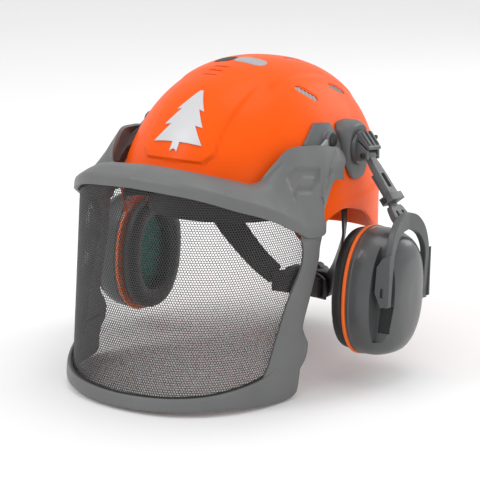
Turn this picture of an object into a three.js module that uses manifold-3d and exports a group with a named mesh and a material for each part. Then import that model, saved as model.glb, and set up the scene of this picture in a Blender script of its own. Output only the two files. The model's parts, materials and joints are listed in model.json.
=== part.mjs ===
// Forestry helmet: an orange shell with vents and a strap harness, a tilting mesh visor on two side
// hinges, and two ear muffs on swivelling, folding arms. Millimetres.
// +X is the wearer's left, +Y the wearer's back, +Z up. The origin is the middle of the headband,
// level with its lower edge at the brow, where the helmet sits on a head.
import * as THREE from "three";
import { mergeVertices } from "three/addons/utils/BufferGeometryUtils.js";
import Module from "manifold-3d";

const wasm = await Module();
wasm.setup();

// ---- driving dimensions ----
const GAP = 0.35; // between pieces that touch
const PIN_GAP = 0.12; // round a pin, so that its flats turn freely in its hole
const FACET_GAP = 0.8; // between faceted domes whose facets do not line up
const DEG = Math.PI / 180;
const SHELL = {
  halfWidth: 106,
  front: 130, // half length ahead of the middle
  back: 143.5,
  crown: 132, // height above the origin's level
  frontPower: 2.0, // 2 is an ellipse; more is boxier
  backPower: 2.3,
  middle: -1.3, // where the widest plan section sits along Y
  lean: 5.7, // how far back the crown sits from there
  wall: 3,
};
// Height of the shell's lower rim, by angle from the front: brow, temple tip, ear arch, nape.
const RIM = [
  [0, 30], [22, 28], [40, 22], [51, 8], [59, -12], [66, -11], [76, 2], [88, 7],
  [100, 3], [110, -4], [122, -20], [145, -38], [180, -45],
];
const AROUND = 44; // facets round the shell
const ROWS = 9; // and from its rim to its crown
// The visor's wall in plan is half a superellipse; it leans forward and narrows on the way down.
const VISOR = { halfWidth: 114, depth: 134, middle: -40, power: 2.35, lean: 0.14, narrow: 0.0004 };
// The visor's axis, and where its pin's ends, its strut's eye and its head are along X.
const HINGE = { y: -15, z: 69, pin: 3.6, x0: 93.2, eye: 95.4, head: 98.8, x1: 100.6 };
// A muff hangs from a swivel on the shell's side; the rest is measured from the swivel's middle.
const SWIVEL = { x: 105.35, y: 20, z: 58, radius: 15.5 };
const MUFF_LEAN = 5.5 * DEG; // how far forward of plumb it hangs
const FOLD = { x: 115.5, z: -6, pin: 2.2 };
const ARM_LEAN = 38.8 * DEG; // the arm's slope away from vertical, swung out
const CUP = { x: 125.5, z: -124, halfY: 43, halfZ: 56.5 };
const HEAD = { halfWidth: 79, half: 103, y: 2 }; // the headband's inside, in plan
const NAPE_Z = -101; // the nape plate's height
const BAND_THICK = 2.2;

// ---- materials ----
const finish = (colour, roughness, metalness = 0) =>
  new THREE.MeshStandardMaterial({ color: colour, roughness, metalness });
const MATERIAL = {
  shell: finish(0xff5a0a, 0.28),
  visor: finish(0x6c6c6c, 0.5),
  mesh: finish(0x4a4b4c, 0.4, 0.6),
  trim: finish(0x161616, 0.6),
  arm: finish(0x5f6163, 0.45),
  mount: finish(0x57595b, 0.45),
  cup: finish(0x505254, 0.35),
  ring: finish(0xff5a14, 0.4),
  cushion: finish(0x1d1d1e, 0.7),
  foam: finish(0x0b5a48, 0.9),
  band: finish(0x161617, 0.55),
  strap: finish(0x222224, 0.85),
  steel: finish(0xb8babc, 0.3, 0.9),
  vent: finish(0x8a8d90, 0.5),
};

// ---- making solids ----
const vec = (x, y, z) => new THREE.Vector3(x, y, z);
const mix = (a, b, t) => a + (b - a) * t;
const smooth = (t) => {
  const c = Math.min(1, Math.max(0, t));
  return c * c * (3 - 2 * c);
};

// A smooth curve through [position, value] pairs, read at any position.
function through(pairs) {
  return (at) => {
    const last = pairs.length - 1;
    const x = Math.min(pairs[last][0], Math.max(pairs[0][0], at));
    let i = 0;
    while (i < last - 1 && pairs[i + 1][0] < x) i += 1;
    const slope = (k) => {
      const before = pairs[Math.max(0, k - 1)];
      const after = pairs[Math.min(last, k + 1)];
      return (after[1] - before[1]) / (after[0] - before[0]);
    };
    const span = pairs[i + 1][0] - pairs[i][0];
    const t = (x - pairs[i][0]) / span;
    const t2 = t * t;
    const t3 = t2 * t;
    return (
      pairs[i][1] * (2 * t3 - 3 * t2 + 1) +
      slope(i) * span * (t3 - 2 * t2 + t) +
      pairs[i + 1][1] * (3 * t2 - 2 * t3) +
      slope(i + 1) * span * (t3 - t2)
    );
  };
}

// Points and faces gathered into one closed solid, with its faces turned outward.
class Body {
  points = [];
  faces = [];
  add(p) {
    this.points.push(p);
    return this.points.length - 1;
  }
  quad(a, b, c, d) {
    this.faces.push([a, b, c], [a, c, d]);
  }
  geometry() {
    const volume = this.faces.reduce((sum, [a, b, c]) => {
      const [p, q, r] = [this.points[a], this.points[b], this.points[c]];
      return sum + p.dot(q.clone().cross(r));
    }, 0);
    const out = this.faces.flatMap(([a, b, c]) => (volume < 0 ? [a, c, b] : [a, b, c]));
    const g = new THREE.BufferGeometry();
    const xyz = this.points.flatMap((p) => [p.x, p.y, p.z]);
    g.setAttribute("position", new THREE.Float32BufferAttribute(xyz, 3));
    g.setIndex(out);
    return g;
  }
}

// A solid through closed section loops of equal length, with a flat cap on each end or joined up.
function loft(sections, joined = false) {
  const body = new Body();
  const n = sections[0].length;
  const rows = sections.map((loop) => loop.map((p) => body.add(p)));
  const last = joined ? rows.length : rows.length - 1;
  for (let i = 0; i < last; i += 1) {
    const [a, b] = [rows[i], rows[(i + 1) % rows.length]];
    for (let j = 0; j < n; j += 1) body.quad(a[j], a[(j + 1) % n], b[(j + 1) % n], b[j]);
  }
  if (!joined) {
    [rows[0], rows[rows.length - 1]].forEach((row, end) => {
      const middle = vec(0, 0, 0);
      row.forEach((k) => middle.addScaledVector(body.points[k], 1 / n));
      const hub = body.add(middle);
      row.forEach((k, j) => {
        const next = row[(j + 1) % n];
        body.faces.push(end ? [hub, k, next] : [hub, next, k]);
      });
    });
  }
  return body.geometry();
}

// A sheet between two offsets from a surface(u, v), u and v from 0 to 1. It may join up along u.
function sheet(surface, nu, nv, low, high, joined = false) {
  const step = 1e-3;
  const offset = (u, v, by) => {
    const du = surface(u + step, v).sub(surface(u - step, v));
    const dv = surface(u, v + step).sub(surface(u, v - step));
    return surface(u, v).addScaledVector(du.cross(dv).normalize(), by);
  };
  const body = new Body();
  const columns = joined ? nu : nu + 1;
  const loops = [];
  for (let i = 0; i < columns; i += 1) {
    const side = (by) =>
      Array.from({ length: nv + 1 }, (_, j) => body.add(offset(i / nu, j / nv, by)));
    loops.push([side(high), side(low)]);
  }
  for (let i = 0; i < nu; i += 1) {
    const [[topA, lowA], [topB, lowB]] = [loops[i], loops[(i + 1) % columns]];
    for (let j = 0; j < nv; j += 1) {
      body.quad(topA[j], topB[j], topB[j + 1], topA[j + 1]);
      body.quad(lowA[j], lowA[j + 1], lowB[j + 1], lowB[j]);
    }
    body.quad(topA[0], lowA[0], lowB[0], topB[0]);
    body.quad(topA[nv], topB[nv], lowB[nv], lowA[nv]);
  }
  if (!joined) {
    [loops[0], loops[nu]].forEach(([top, low], end) => {
      for (let j = 0; j < nv; j += 1) {
        const face = [top[j], top[j + 1], low[j + 1], low[j]];
        body.quad(...(end ? face.reverse() : face));
      }
    });
  }
  return body.geometry();
}

const asSolid = (geometry) => {
  const bare = geometry.index ? geometry.toNonIndexed() : geometry.clone();
  bare.deleteAttribute("normal");
  bare.deleteAttribute("uv");
  const merged = mergeVertices(bare, 1e-4);
  return new wasm.Manifold(
    new wasm.Mesh({
      numProp: 3,
      vertProperties: merged.attributes.position.array,
      triVerts: new Uint32Array(merged.index.array),
    }),
  );
};
const asGeometry = (solid) => {
  const { vertProperties, triVerts, numProp } = solid.getMesh();
  const xyz = [];
  for (let i = 0; i < vertProperties.length; i += numProp) {
    xyz.push(vertProperties[i], vertProperties[i + 1], vertProperties[i + 2]);
  }
  const g = new THREE.BufferGeometry();
  g.setAttribute("position", new THREE.Float32BufferAttribute(xyz, 3));
  g.setIndex(Array.from(triVerts));
  return g;
};
const cut = (geometry, ...tools) =>
  asGeometry(tools.reduce((s, t) => s.subtract(asSolid(t)), asSolid(geometry)));
const join = (...pieces) =>
  asGeometry(pieces.slice(1).reduce((s, p) => s.add(asSolid(p)), asSolid(pieces[0])));

const box = (x0, x1, y0, y1, z0, z1) =>
  new THREE.BoxGeometry(x1 - x0, y1 - y0, z1 - z0).translate(
    (x0 + x1) / 2,
    (y0 + y1) / 2,
    (z0 + z1) / 2,
  );
// A round bar along X or Y from one end to the other, centred at the other two coordinates.
function bar(axis, from, to, centre, radius, sides = 20) {
  const g = new THREE.CylinderGeometry(radius, radius, to - from, sides);
  if (axis === "x") {
    return g.rotateZ(Math.PI / 2).translate((from + to) / 2, centre[0], centre[1]);
  }
  return g.translate(centre[0], (from + to) / 2, centre[1]);
}

// A loop in the Y-Z plane at x: a rounded oblong, from an ellipse (power 2) to nearly a box.
function oval(x, y, z, halfY, halfZ, power = 2.3, n = 26) {
  return Array.from({ length: n }, (_, i) => {
    const a = (i / n) * 2 * Math.PI;
    const [c, s] = [Math.cos(a), Math.sin(a)];
    const round = (w) => Math.sign(w) * Math.abs(w) ** (2 / power);
    return vec(x, y + halfY * round(c), z + halfZ * round(s));
  });
}

// The same closed shape on the other side.
function mirrored(geometry) {
  const flip = (geometry.index ? geometry.toNonIndexed() : geometry.clone()).scale(-1, 1, 1);
  const p = flip.attributes.position.array;
  const corner = 3;
  for (let i = 0; i < p.length; i += 3 * corner) {
    for (let k = 0; k < corner; k += 1) {
      [p[i + k], p[i + corner + k]] = [p[i + corner + k], p[i + k]];
    }
  }
  return flip;
}

// ---- shell ----
// A point of the shell's outside. angle is from the front, towards the wearer's left; rise is the
// angle above the widest section, and below it the wall runs straight down.
function shellPoint(angle, rise, grow = 0) {
  const [east, south] = [Math.sin(angle), -Math.cos(angle)];
  const power = mix(SHELL.frontPower, SHELL.backPower, (south + 1) / 2);
  const reach = (south > 0 ? SHELL.back : SHELL.front) + grow;
  const crown = SHELL.crown + grow;
  const flat = rise > 0 ? Math.cos(rise) : 1;
  const up = rise > 0 ? Math.sin(rise) : 0;
  const size =
    (Math.abs((east * flat) / (SHELL.halfWidth + grow)) ** power +
      Math.abs((south * flat) / reach) ** power +
      Math.abs(up / crown) ** power) **
    (-1 / power);
  const z = rise > 0 ? size * up : SHELL.crown * rise;
  const back = SHELL.middle + (SHELL.lean * Math.max(z, 0)) / SHELL.crown;
  return vec(size * east * flat, size * south * flat + back, z);
}
// The rise at which the shell reaches a height.
function riseAt(angle, z, grow = 0) {
  if (z <= 0) return z / SHELL.crown;
  let [low, high] = [0, Math.PI / 2];
  for (let i = 0; i < 30; i += 1) {
    const middle = (low + high) / 2;
    if (shellPoint(angle, middle, grow).z < z) low = middle;
    else high = middle;
  }
  return low;
}
const shellAt = (angle, z, grow = 0) => shellPoint(angle, riseAt(angle, z, grow), grow);
const rimHeight = through(RIM);
const rimAt = (angle) => {
  const turned = Math.abs((((angle / DEG + 180) % 360) + 360) % 360 - 180);
  return rimHeight(turned);
};

// A dome between two sizes of the shell, open below along the rim, or flat-bottomed at a height.
function dome(grow, wall, rim) {
  const [around, rows] = [AROUND, ROWS];
  const body = new Body();
  const face = (g) => {
    const rings = [];
    for (let j = 0; j < rows; j += 1) {
      rings.push(
        Array.from({ length: around }, (_, i) => {
          const angle = (i / around) * 2 * Math.PI;
          const start = riseAt(angle, rim(angle), g);
          return body.add(shellPoint(angle, mix(start, Math.PI / 2, j / rows), g));
        }),
      );
    }
    const pole = body.add(shellPoint(0, Math.PI / 2, g));
    return [rings, pole];
  };
  const [outer, top] = face(grow);
  const [inner, under] = face(grow - wall);
  for (let i = 0; i < around; i += 1) {
    const k = (i + 1) % around;
    for (let j = 0; j < rows - 1; j += 1) {
      body.quad(outer[j][i], outer[j][k], outer[j + 1][k], outer[j + 1][i]);
      body.quad(inner[j][k], inner[j][i], inner[j + 1][i], inner[j + 1][k]);
    }
    const last = rows - 1;
    body.faces.push([outer[last][i], outer[last][k], top]);
    body.faces.push([inner[last][k], inner[last][i], under]);
    body.quad(outer[0][k], outer[0][i], inner[0][i], inner[0][k]);
  }
  return body.geometry();
}

// An oblong bar that stands across the shell's wall at a place, turned by a heading in its plane.
function slot(place, length, width, from, to) {
  const [angle, rise, heading] = place;
  const p = shellPoint(angle, rise);
  const east = shellPoint(angle + 0.01, rise).sub(shellPoint(angle - 0.01, rise)).normalize();
  const up = shellPoint(angle, rise + 0.01).sub(shellPoint(angle, rise - 0.01));
  const out = east.clone().cross(up).normalize();
  const north = out.clone().cross(east);
  const shape = new THREE.Shape();
  const [h, r] = [length / 2 - width / 2, width / 2];
  shape.moveTo(-h, -r).lineTo(h, -r);
  shape.absarc(h, 0, r, -Math.PI / 2, Math.PI / 2);
  shape.lineTo(-h, r);
  shape.absarc(-h, 0, r, Math.PI / 2, 1.5 * Math.PI);
  const g = new THREE.ExtrudeGeometry(shape, {
    depth: to - from,
    bevelEnabled: false,
    curveSegments: 3,
  });
  const turn = new THREE.Matrix4().makeBasis(east, north, out).setPosition(p);
  return g.rotateZ(heading).translate(0, 0, from).applyMatrix4(turn);
}
// Vents on one side, as [angle from the front, rise, heading] in radians, length and width.
const VENTS = {
  side_front: { place: [83.5 * DEG, 58 * DEG, -0.85], length: 24, width: 7 },
  side_rear: { place: [125 * DEG, 52.5 * DEG, -0.8], length: 24, width: 7 },
  top: { place: [146 * DEG, 72 * DEG, -1.0], length: 19, width: 5.5 },
};
const CROWN_VENT = { place: [0, 79 * DEG, 0], length: 46, width: 15 };

// ---- visor ----
// A point of the visor's wall: turn 0 is the front, 1 and -1 the sides, and past 1 it runs back.
function visorPoint(turn, z) {
  const { halfWidth, depth, middle, power, lean, narrow } = VISOR;
  const a = Math.min(Math.abs(turn), 1) * 90 * DEG;
  const round = (w) => Math.max(0, w) ** (2 / power);
  const x = Math.sign(turn) * halfWidth * round(Math.sin(a)) * (1 + narrow * z);
  const back = Math.max(0, Math.abs(turn) - 1) * 100;
  return vec(x, middle + lean * z - depth * round(Math.cos(a)) + back, z);
}
// The turn at which the wall reaches a place along Y.
function turnAt(y, z) {
  const ahead = (VISOR.middle + VISOR.lean * z - y) / VISOR.depth;
  if (ahead <= 0) return 1 - (ahead * VISOR.depth) / 100;
  return Math.acos(Math.min(1, ahead) ** (VISOR.power / 2)) / (90 * DEG);
}
// Heights by turn from the front: the brow's lip, and the two edges of the bar below the mesh.
const LIP = through([[0, 42], [0.25, 38], [0.5, 26], [0.65, 17], [0.8, 3], [0.88, -5]]);
const BAR_LOW = through([[0, -139], [0.5, -137], [0.75, -140], [0.88, -139], [0.93, -130]]);
const BAR_HIGH = through([[0, -128], [0.4, -125], [0.6, -120], [0.72, -114], [0.78, -106]]);
// The side strips' edges along Y, by height.
const STRIP_FRONT = through([
  [-120, -128], [-110, -121], [-81, -110], [-54, -99], [-27, -84], [-14, -82], [-4, -84],
]);
const STRIP_BACK = through([
  [-132, -88], [-118, -82], [-109, -74], [-97, -72], [-88, -77], [-80, -80], [-57, -72],
  [-25, -61], [-14, -60], [-4, -57],
]);
const FRAME = { inner: -0.4, strip: 2.4, bar: 3, top: -5, foot: -131 };
const SCREEN = { inner: -2.5, outer: -1.5 };

function visorFrame() {
  const strip = (side) => {
    return sheet(
      (u, v) => {
        const z = mix(FRAME.foot, FRAME.top, v);
        return visorPoint(side * mix(turnAt(STRIP_FRONT(z), z), turnAt(STRIP_BACK(z), z), u), z);
      },
      2,
      14,
      side > 0 ? FRAME.inner : -FRAME.strip,
      side > 0 ? FRAME.strip : -FRAME.inner,
    );
  };
  const span = 0.9;
  const bar = sheet(
    (u, v) => {
      const turn = mix(-span, span, u) || 1e-6;
      const along = Math.abs(turn);
      return visorPoint(turn, mix(BAR_LOW(along), BAR_HIGH(along), v));
    },
    30,
    1,
    FRAME.inner,
    FRAME.bar,
  );
  return join(bar, strip(1), strip(-1));
}

function visorScreen() {
  const span = 0.9;
  return sheet(
    (u, v) => {
      const turn = mix(-span, span, u) || 1e-6;
      const along = Math.abs(turn);
      const low = mix(BAR_LOW(along), BAR_HIGH(along), 0.6);
      return visorPoint(turn, mix(low, LIP(along) - 1.5, v));
    },
    28,
    2,
    SCREEN.inner,
    SCREEN.outer,
  );
}

// The brow piece on the wearer's left: its edge on the shell, and the edge below or behind that.
// It runs from the middle of the brow, over the wing at the temple, to the wing's rear edge.
const BROW = [
  { edge: [0, -124.5, 48], turn: 0 },
  { edge: [34, -119.5, 45.5], turn: 0.27 },
  { edge: [54.5, -108.5, 42], turn: 0.47 },
  { edge: [67, -99, 38.5], turn: 0.59 },
  { edge: [77.5, -95, 41.5], turn: 0.68 },
  { edge: [81, -91, 48.5], turn: 0.74 },
  { edge: [84, -81.5, 58], turn: 0.8 },
  { edge: [87.5, -68, 67.5], turn: 0.86 },
  { edge: [93, -45, 67], low: [114.6, -57, -3.5] },
  { edge: [96.5, -30, 65], low: [112, -56, 11] },
  { edge: [98.5, -19, 62.5], low: [110, -47.5, 22] },
  { edge: [100, -12, 60.5], low: [108.5, -33, 37] },
  { edge: [102.5, -8, 56], low: [109, -17, 36] },
];
const browEdge = BROW.map(({ edge }) => vec(...edge));
const browLow = BROW.map(({ low, turn }) => {
  if (low) return vec(...low);
  return visorPoint(turn || 1e-6, LIP(turn)).setX(turn ? visorPoint(turn, LIP(turn)).x : 0);
});
const curveAt = (points, u) => {
  const at = (axis) => through(points.map((p, i) => [i, p[axis]]))(u * (points.length - 1));
  return vec(at("x"), at("y"), at("z"));
};
const BEND = 0.84; // where the top turns down into the lip

// v runs from the shell to the lip, and u from one ear to the other.
function browPoint(u, v) {
  const along = Math.abs(2 * u - 1);
  const top = curveAt(browEdge, along);
  const low = curveAt(browLow, along);
  const wing = smooth((along - 0.55) / 0.2);
  const lip = low.clone().add(vec(0, mix(1.5, 0, wing), mix(7.5, 10, wing)));
  const swell = vec(wing, -0.4 * (1 - wing), 1 - wing).multiplyScalar(mix(6, 2, wing));
  const p = v < BEND ? top.lerp(lip, v / BEND) : lip.lerp(low, (v - BEND) / (1 - BEND));
  p.addScaledVector(swell, Math.sin((Math.PI * Math.min(v, BEND)) / BEND));
  return vec(p.x * (u < 0.5 ? -1 : 1), p.y, p.z);
}

const BASE_RISE = 3; // how far the hinge base stands off the shell
// The brow piece with its two side wings, and the struts that reach up to the hinge pins.
function visorPeak() {
  const plate = sheet(browPoint, 42, 5, -3, 0);
  const { y, z, pin, eye, head } = HINGE;
  const strut = (side) => {
    const ring = bar("x", eye, head - GAP, [y, z], pin + 3.4, 16);
    const web = [[y - 6.8, z + 1.5], [y - 31, 61], [y - 10, 57], [y + 6.8, z - 1]];
    const loop = (x) => web.map(([a, b]) => vec(x, a, b));
    const both = join(ring, loft([loop(eye), loop(head - GAP)]));
    return side > 0 ? both : mirrored(both);
  };
  const clearance = dome(BASE_RISE + 1, 20, () => -30);
  const whole = join(plate, strut(1), strut(-1));
  const holes = [1, -1].map((side) => {
    const hole = bar("x", 80, 118, [y, z], pin + PIN_GAP, 16);
    const recess = bar("x", head - GAP, 118, [y, z], pin + 2.6, 16);
    return side > 0 ? join(hole, recess) : mirrored(join(hole, recess));
  });
  return cut(whole, clearance, ...holes);
}

// The base that holds the visor's pin follows the shell and is fixed to it.
function hingeBase() {
  const { y, z, pin, x0, eye } = HINGE;
  const outline = [[-44, 60], [-43, 68], [-22, 83.5], [-4, 81.5], [-1, 74], [-2, 59]];
  const loop = (x) => outline.map(([a, b]) => vec(x, a, b));
  const pad = asSolid(loft([loop(70), loop(106)]));
  const skin = asSolid(dome(BASE_RISE, BASE_RISE - FACET_GAP, () => -30));
  const boss = bar("x", 80, eye - GAP, [y, z], pin + 3.2, 16);
  const seat = bar("x", eye - GAP, 120, [y, z], pin + 4.2, 24); // room for the strut's eye to turn
  const body = join(asGeometry(pad.intersect(skin)), cut(boss, dome(FACET_GAP, 30, () => -30)));
  return cut(body, seat, bar("x", x0, 120, [y, z], pin + PIN_GAP, 16));
}
const hingePin = () => {
  const { y, z, pin, x0, x1, head } = HINGE;
  return join(
    bar("x", x0 + 0.3, x1 - 0.5, [y, z], pin, 16),
    bar("x", head, x1, [y, z], pin + 2.2, 16),
  );
};

// ---- muff, made on the wearer's left and mirrored ----
// The mount stands on the shell, with a tongue through the slot in its wall.
const TONGUE = { z: 44, halfY: 12, halfZ: 2.5 };
function muffMount() {
  const { x, y, z } = SWIVEL;
  const middle = z - 4;
  const face = x - GAP;
  const block = loft([
    oval(82, y, middle, 19, 27, 3.4, 28),
    oval(face - 7, y, middle, 19, 27, 3.4, 28),
    oval(face - 2.5, y, middle, 17.5, 25.5, 3.2, 28),
    oval(face, y, middle, 15.5, 23.5, 3, 28),
  ]);
  const shaped = cut(block, dome(FACET_GAP, 30, () => -30));
  const tongue = box(
    90,
    face - 4,
    y - TONGUE.halfY,
    y + TONGUE.halfY,
    TONGUE.z - TONGUE.halfZ,
    TONGUE.z + TONGUE.halfZ,
  );
  const bore = bar("x", face - 5.5, x + 10, [y, z], 5.3, 16);
  return cut(join(shaped, tongue), bore);
}

// From here on the pieces are in the muff's own frame, with its origin on the swivel's axis.
function muffSwivel() {
  const { x, radius } = SWIVEL;
  const disc = bar("x", x, x + 3.6, [0, 0], radius, 24);
  const stub = bar("x", x - 5, x + 1, [0, 0], 5, 16);
  const ear = (y0) => {
    const outline = [
      [x + 1, 8], [FOLD.x + 4, FOLD.z + 4.6], [FOLD.x + 4.6, FOLD.z - 3], [x + 1, FOLD.z - 6],
    ];
    const loop = (y) => outline.map(([a, b]) => vec(a, y, b));
    return loft([loop(y0), loop(y0 + 3)]);
  };
  const bore = bar("y", -20, 20, [FOLD.x, FOLD.z], FOLD.pin + 0.06, 14);
  return cut(join(disc, stub, ear(-11), ear(8)), bore);
}
const foldPin = () => bar("y", -12.5, 12.5, [FOLD.x, FOLD.z], FOLD.pin, 14);

// The fold spring: two turns of wire round the pin, beside the arm's barrel.
function foldSpring() {
  const turns = 2;
  const perTurn = 10;
  const wire = 0.32;
  const sections = Array.from({ length: turns * perTurn + 1 }, (_, i) => {
    const a = (i / perTurn) * 2 * Math.PI;
    const y = 5.4 + (i / (turns * perTurn)) * 1.8;
    return Array.from({ length: 5 }, (_q, j) => {
      const b = (j / 5) * 2 * Math.PI;
      const r = FOLD.pin + 1 + wire * Math.cos(b);
      return vec(FOLD.x + r * Math.cos(a), y + wire * Math.sin(b), FOLD.z + r * Math.sin(a));
    });
  });
  return loft(sections);
}

// A point in the arm's own frame: s down the arm from the fold pin, n out from it.
const armDown = vec(Math.sin(ARM_LEAN), 0, -Math.cos(ARM_LEAN));
const armOut = vec(Math.cos(ARM_LEAN), 0, Math.sin(ARM_LEAN));
const armPoint = (s, n, y) =>
  vec(FOLD.x, y, FOLD.z).addScaledVector(armDown, s).addScaledVector(armOut, n);
const armBox = (s0, s1, n0, n1, halfY) => {
  const corners = [[n0, -halfY], [n1, -halfY], [n1, halfY], [n0, halfY]];
  const loop = (s) => corners.map(([n, y]) => armPoint(s, n, y));
  return loft([loop(s0), loop(s1)]);
};
const STEM = { n0: -5.9, n1: -3.1, half: 6.5, s0: 18, s1: 66 };
const SLEEVE = { s0: 40, s1: 47, n0: -8.4, n1: 3.8, half: 10.5 };
function muffArm() {
  const barrel = bar("y", -7.6, 4.9, [FOLD.x, FOLD.z], 4.4, 16);
  const blade = loft(
    [[2, 5.2], [13, 7.4], [24, 8], [SLEEVE.s1 - 2, 8.6]].map(([s, w]) => {
      const section = [[-2.4, -w], [2.4, -w + 1.4], [2.4, w - 1.4], [-2.4, w]];
      return section.map(([n, y]) => armPoint(s, n, y));
    }),
  );
  const sleeve = armBox(SLEEVE.s0, SLEEVE.s1, SLEEVE.n0, SLEEVE.n1, SLEEVE.half);
  const channel = armBox(
    SLEEVE.s0 - 2,
    SLEEVE.s1 + 2,
    STEM.n0 - GAP,
    STEM.n1 + GAP,
    STEM.half + GAP,
  );
  const window = armBox(20, 34, -6, 6, 3);
  const bore = bar("y", -20, 20, [FOLD.x, FOLD.z], FOLD.pin + 0.06, 14);
  return cut(join(barrel, blade, sleeve), channel, window, bore);
}

// The fork: a flat stem that slides in the arm's sleeve, and two prongs that hold the cup.
const FORK = { x: 160, prong: 33, thick: 6, crownX: 156.8, crownZ: -58.5, pin: 1.9 };
function muffFork() {
  const stem = armBox(STEM.s0, STEM.s1, STEM.n0, STEM.n1, STEM.half);
  const { x, prong, thick, crownX, crownZ } = FORK;
  const path = [
    { x: crownX, out: 0, z: crownZ, wide: 15 },
    { x: crownX + 0.8, out: 13, z: crownZ - 3, wide: 14 },
    { x: crownX + 2, out: 24, z: crownZ - 11, wide: 11 },
    { x, out: 30.5, z: crownZ - 26, wide: 8.5 },
    { x, out: prong, z: crownZ - 45, wide: 7.5 },
    { x, out: prong, z: CUP.z - 6.5, wide: 8 },
  ];
  const arch = [1, -1].map((side) =>
    loft(
      path.map((at, i) => {
        const before = path[Math.max(0, i - 1)];
        const after = path[Math.min(path.length - 1, i + 1)];
        const along = vec(0, after.out - before.out, after.z - before.z).normalize();
        return [[-1, -1], [1, -1], [1, 1], [-1, 1]].map(([a, b]) =>
          vec(
            at.x + (a * thick) / 2,
            side * (at.out - (b * along.z * at.wide) / 2),
            at.z + (b * along.y * at.wide) / 2,
          ),
        );
      }),
    ),
  );
  const eyes = [1, -1].map((side) => {
    const y = side * prong;
    return bar("y", y - 14, y + 14, [x, CUP.z], FORK.pin + 0.15, 12);
  });
  return cut(join(stem, ...arch), ...eyes);
}
const cupPin = (side) => {
  const [inner, outer] = [side * (FORK.prong - 9), side * (FORK.prong + 4.4)];
  const [from, to] = [Math.min(inner, outer), Math.max(inner, outer)];
  return bar("y", from, to, [FORK.x, CUP.z], FORK.pin, 12);
};

// The cup: a hollow dish, with a channel down each shoulder for the fork's prongs.
const CHANNEL = { x: 22, inner: 26.4, below: 40 };
function muffCup() {
  const { x, z, halfY, halfZ } = CUP;
  const skin = [
    [0, 1, 1], [13, 1, 1], [25, 0.92, 0.945], [35, 0.745, 0.83], [41, 0.5, 0.6], [42.5, 0.25, 0.33],
  ];
  const dish = loft(skin.map(([dx, ky, kz]) => oval(x + dx, 0, z, halfY * ky, halfZ * kz, 2.25)));
  const pit = [[-1, 34, 47], [12, 34, 47], [17.5, 23.4, 42], [28, 21, 36], [34, 14, 26]];
  const hollow = loft(pit.map(([dx, ry, rz]) => oval(x + dx, 0, z, ry, rz, 2.2)));
  const channels = [1, -1].map((side) => {
    const [a, b] = [side * CHANNEL.inner, side * 60];
    return box(x + CHANNEL.x, x + 60, Math.min(a, b), Math.max(a, b), z - CHANNEL.below, z + 70);
  });
  const bores = [1, -1].map((side) => {
    const [a, b] = [side * (FORK.prong - 9.6), side * (FORK.prong + 12)];
    return bar("y", Math.min(a, b), Math.max(a, b), [FORK.x, z], FORK.pin + 0.06, 12);
  });
  return cut(dish, hollow, ...channels, ...bores);
}
const RING = { thick: 3, halfY: 44.2, halfZ: 57.2, openY: 34, openZ: 47 };
function muffRing() {
  const { z } = CUP;
  const [x0, x1] = [CUP.x - RING.thick - GAP, CUP.x - GAP];
  const outer = (x) => oval(x, 0, z, RING.halfY, RING.halfZ, 2.25);
  const inner = (x) => oval(x, 0, z, RING.openY, RING.openZ, 2.25);
  return loft([outer(x0), outer(x1), inner(x1), inner(x0)], true);
}

// The cushion: a soft closed ring round the ear opening.
const CUSHION = { thick: 14, tubeY: 9.8, midY: 32, midZ: 45 };
function muffCushion() {
  const middle = CUP.x - RING.thick - 2 * GAP - CUSHION.thick / 2;
  const sides = 8;
  const round = (w) => Math.sign(w) * Math.abs(w) ** 0.72;
  const loops = Array.from({ length: sides }, (_, i) => {
    const a = (i / sides) * 2 * Math.PI;
    const out = CUSHION.tubeY * round(Math.cos(a));
    const x = middle + (CUSHION.thick / 2) * round(Math.sin(a));
    return oval(x, 0, CUP.z, CUSHION.midY + out, CUSHION.midZ + out, 2.25);
  });
  return loft(loops, true);
}
const muffFoam = () =>
  loft([
    oval(CUP.x + 0.5, 0, CUP.z, 32.8, 45.8, 2.2),
    oval(CUP.x + 10, 0, CUP.z, 32.8, 45.8, 2.2),
  ]);

// ---- harness ----
// A point of the head's surface where the harness lies; below the ears the neck is narrower.
function headPoint(angle, z, grow = 0) {
  const narrow = 16 * smooth((-z - 20) / 80);
  const x = (HEAD.halfWidth - narrow + grow) * Math.sin(angle);
  return vec(x, HEAD.y - (HEAD.half + grow) * Math.cos(angle), z);
}
const bandLow = (angle) => mix(3, -4, (1 - Math.cos(angle)) / 2);
const bandHigh = (angle) => mix(31, 18, (1 - Math.cos(angle)) / 2);
const headband = () =>
  sheet(
    (u, v) => {
      const angle = u * 2 * Math.PI;
      return headPoint(angle, mix(bandLow(angle), bandHigh(angle), v));
    },
    48,
    1,
    0,
    BAND_THICK,
    true,
  );
const sweatband = () =>
  sheet(
    (u, v) => {
      const angle = mix(-62, 62, u) * DEG;
      return headPoint(angle, mix(bandLow(angle) + 1, bandHigh(angle) - 3, v));
    },
    20,
    2,
    -4.6,
    -GAP,
  );
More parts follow.
